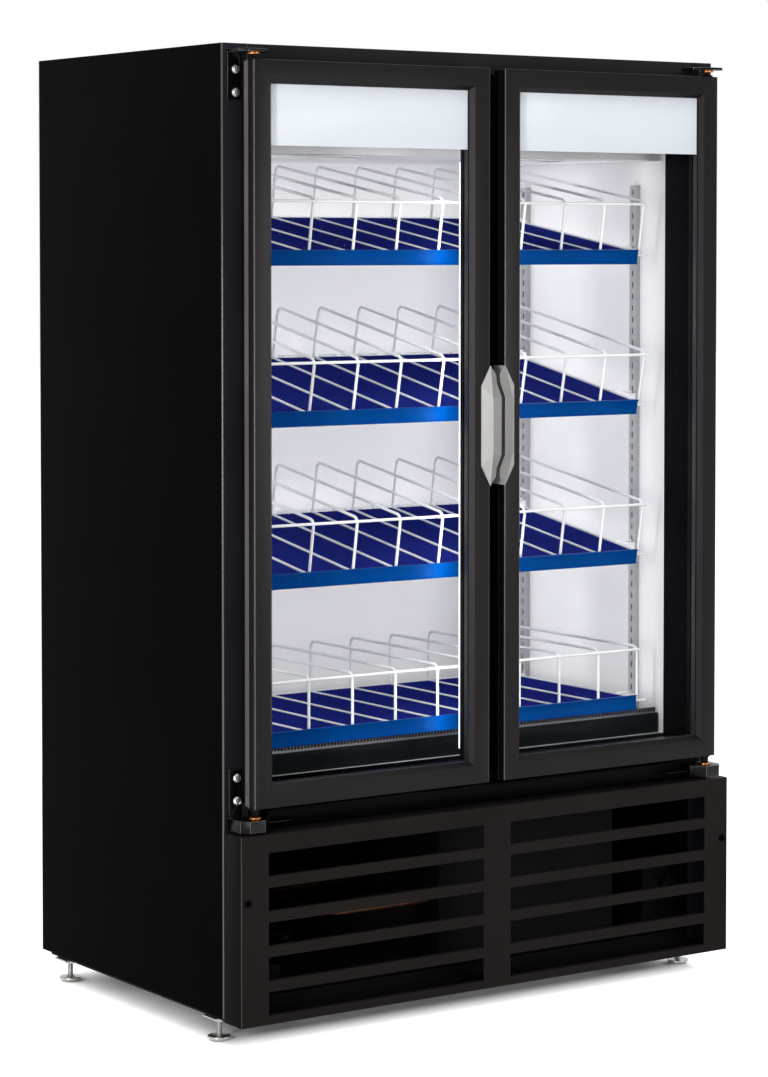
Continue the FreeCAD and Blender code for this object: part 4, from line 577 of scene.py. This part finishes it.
def seenDirectly(tree):
    path = add(tree, "LightPath")
    near = add(tree, "Math", operation="MAXIMUM", _0=path.outputs["Is Camera Ray"], _1=path.outputs["Is Glossy Ray"])
    return add(tree, "Math", operation="MAXIMUM", _0=near.outputs["Value"],
               _1=path.outputs["Is Transmission Ray"]).outputs["Value"]


# pale floor: white to the eye by its own glow, with a painted shadow where ambient occlusion finds the part keeping
# light from it, and a painted band of light under its front edge
shadow = {"reach": 0.2, "dark": 0.13, "clear": 0.48, "litFrom": -0.26, "litTo": -0.345}
floorMat, tree, shader = blank("white_studio_floor")
shade = add(tree, "AmbientOcclusion", samples=16, Distance=shadow["reach"]).outputs["AO"]
under = ramp(tree, shade, (0, 0, 0, 1), (1, 1, 1, 1), shadow["dark"], shadow["clear"])
spot = add(tree, "TexCoord").outputs["Object"]
ahead = add(tree, "SeparateXYZ", Vector=spot).outputs["Y"]
flood = add(tree, "MapRange", Value=ahead, From_Min=shadow["litFrom"],
            From_Max=shadow["litTo"]).outputs["Result"]
lift = add(tree, "Math", operation="MAXIMUM", _0=under, _1=flood).outputs["Value"]
glow = add(tree, "Math", operation="MULTIPLY", _0=lift, _1=seenDirectly(tree)).outputs["Value"]
tree.links.new(span(tree, glow, 0.0, 0.9), shader.inputs["Emission Strength"])
shader.inputs["Base Color"].default_value = linear("#ececec")
shader.inputs["Emission Color"].default_value = linear("#ffffff")
shader.inputs["Roughness"].default_value = 0.9
shader.inputs["Specular IOR Level"].default_value = 0.0
floorMesh.materials.append(floorMat)

world = bpy.data.worlds.new("studio")
bpy.context.scene.world = world
world.use_nodes = True
tree = world.node_tree
tree.nodes.clear()
level = span(tree, seenDirectly(tree), 0.42, 1.0)
sky = add(tree, "Background", Color=(1, 1, 1, 1), Strength=level)
out = tree.nodes.new("ShaderNodeOutputWorld")
tree.links.new(sky.outputs["Background"], out.inputs["Surface"])


def lamp(name, spot, target, size, watts, glossy=True):
    light = bpy.data.lights.new(name, "AREA")
    light.shape = "RECTANGLE"
    light.size, light.size_y = size
    light.energy = watts
    thing = bpy.data.objects.new(name, light)
    thing.location = spot
    thing.rotation_euler = (Vector(target) - Vector(spot)).to_track_quat("-Z", "Y").to_euler()
    thing.visible_glossy = glossy
    thing.visible_camera = False
    bpy.context.scene.collection.objects.link(thing)


lamp("front_softbox", (0.95, -2.95, 1.3), (-0.3, -0.39, 1.3), (0.7, 1.4), 22)
lamp("left_strip", (-4.4, -2.6, 1.3), (-0.4, -0.3, 1.1), (0.5, 2.2), 100)
lamp("top_softbox", (0, -0.8, 4.4), (0, 0, 0), (3.0, 2.4), 60)
# the chilled space is lit evenly: soft washes close to its walls and a weak one from the doors
lamp("cavity_fill", (0, -0.335, 1.15), (0, 0.3, 1.15), (1.0, 1.2), 2.0, glossy=False)
lamp("back_wash", (-0.07, 0.262, 1.15), (-0.07, 0.34, 1.15), (0.92, 1.2), 1.2, glossy=False)
lamp("ceiling_wash", (0, 0.0, 1.69), (0, 0.03, 1.76), (1.05, 0.62), 0.7, glossy=False)
for side in (-1, 1):
    lamp(f"side_wash_{side}", (side * 0.505, 0.05, 1.15), (side * 0.55, 0.05, 1.15), (0.55, 1.2), 1.1,
         glossy=False)
    lamp(f"shelf_fill_{side}", (side * 0.52, 0.0, 1.15), (0, 0.0, 1.15), (0.45, 1.2), 1.1, glossy=False)
    lamp(f"mullion_lamp_{side}", (side * 0.05, -0.312, 1.143), (side * 0.3, 0.3, 1.143), (0.02, 1.15), 1.0,
         glossy=False)

view = {"place": (-3.8003, -5.5235, 1.5753), "down": 2.4, "turn": -34.45, "lens": 104.58, "sensor": 36,
        "shift": -0.150}
camera = bpy.data.cameras.new("photo_camera")
camera.sensor_fit = "VERTICAL"
camera.sensor_height = view["sensor"]
camera.lens = view["lens"]
camera.shift_y = view["shift"]
eye = bpy.data.objects.new("photo_camera", camera)
eye.location = view["place"]
eye.rotation_euler = (math.radians(90 - view["down"]), 0, math.radians(view["turn"]))
bpy.context.scene.collection.objects.link(eye)
bpy.context.scene.camera = eye
bpy.context.scene.view_settings.view_transform = "Standard"
print("staged")
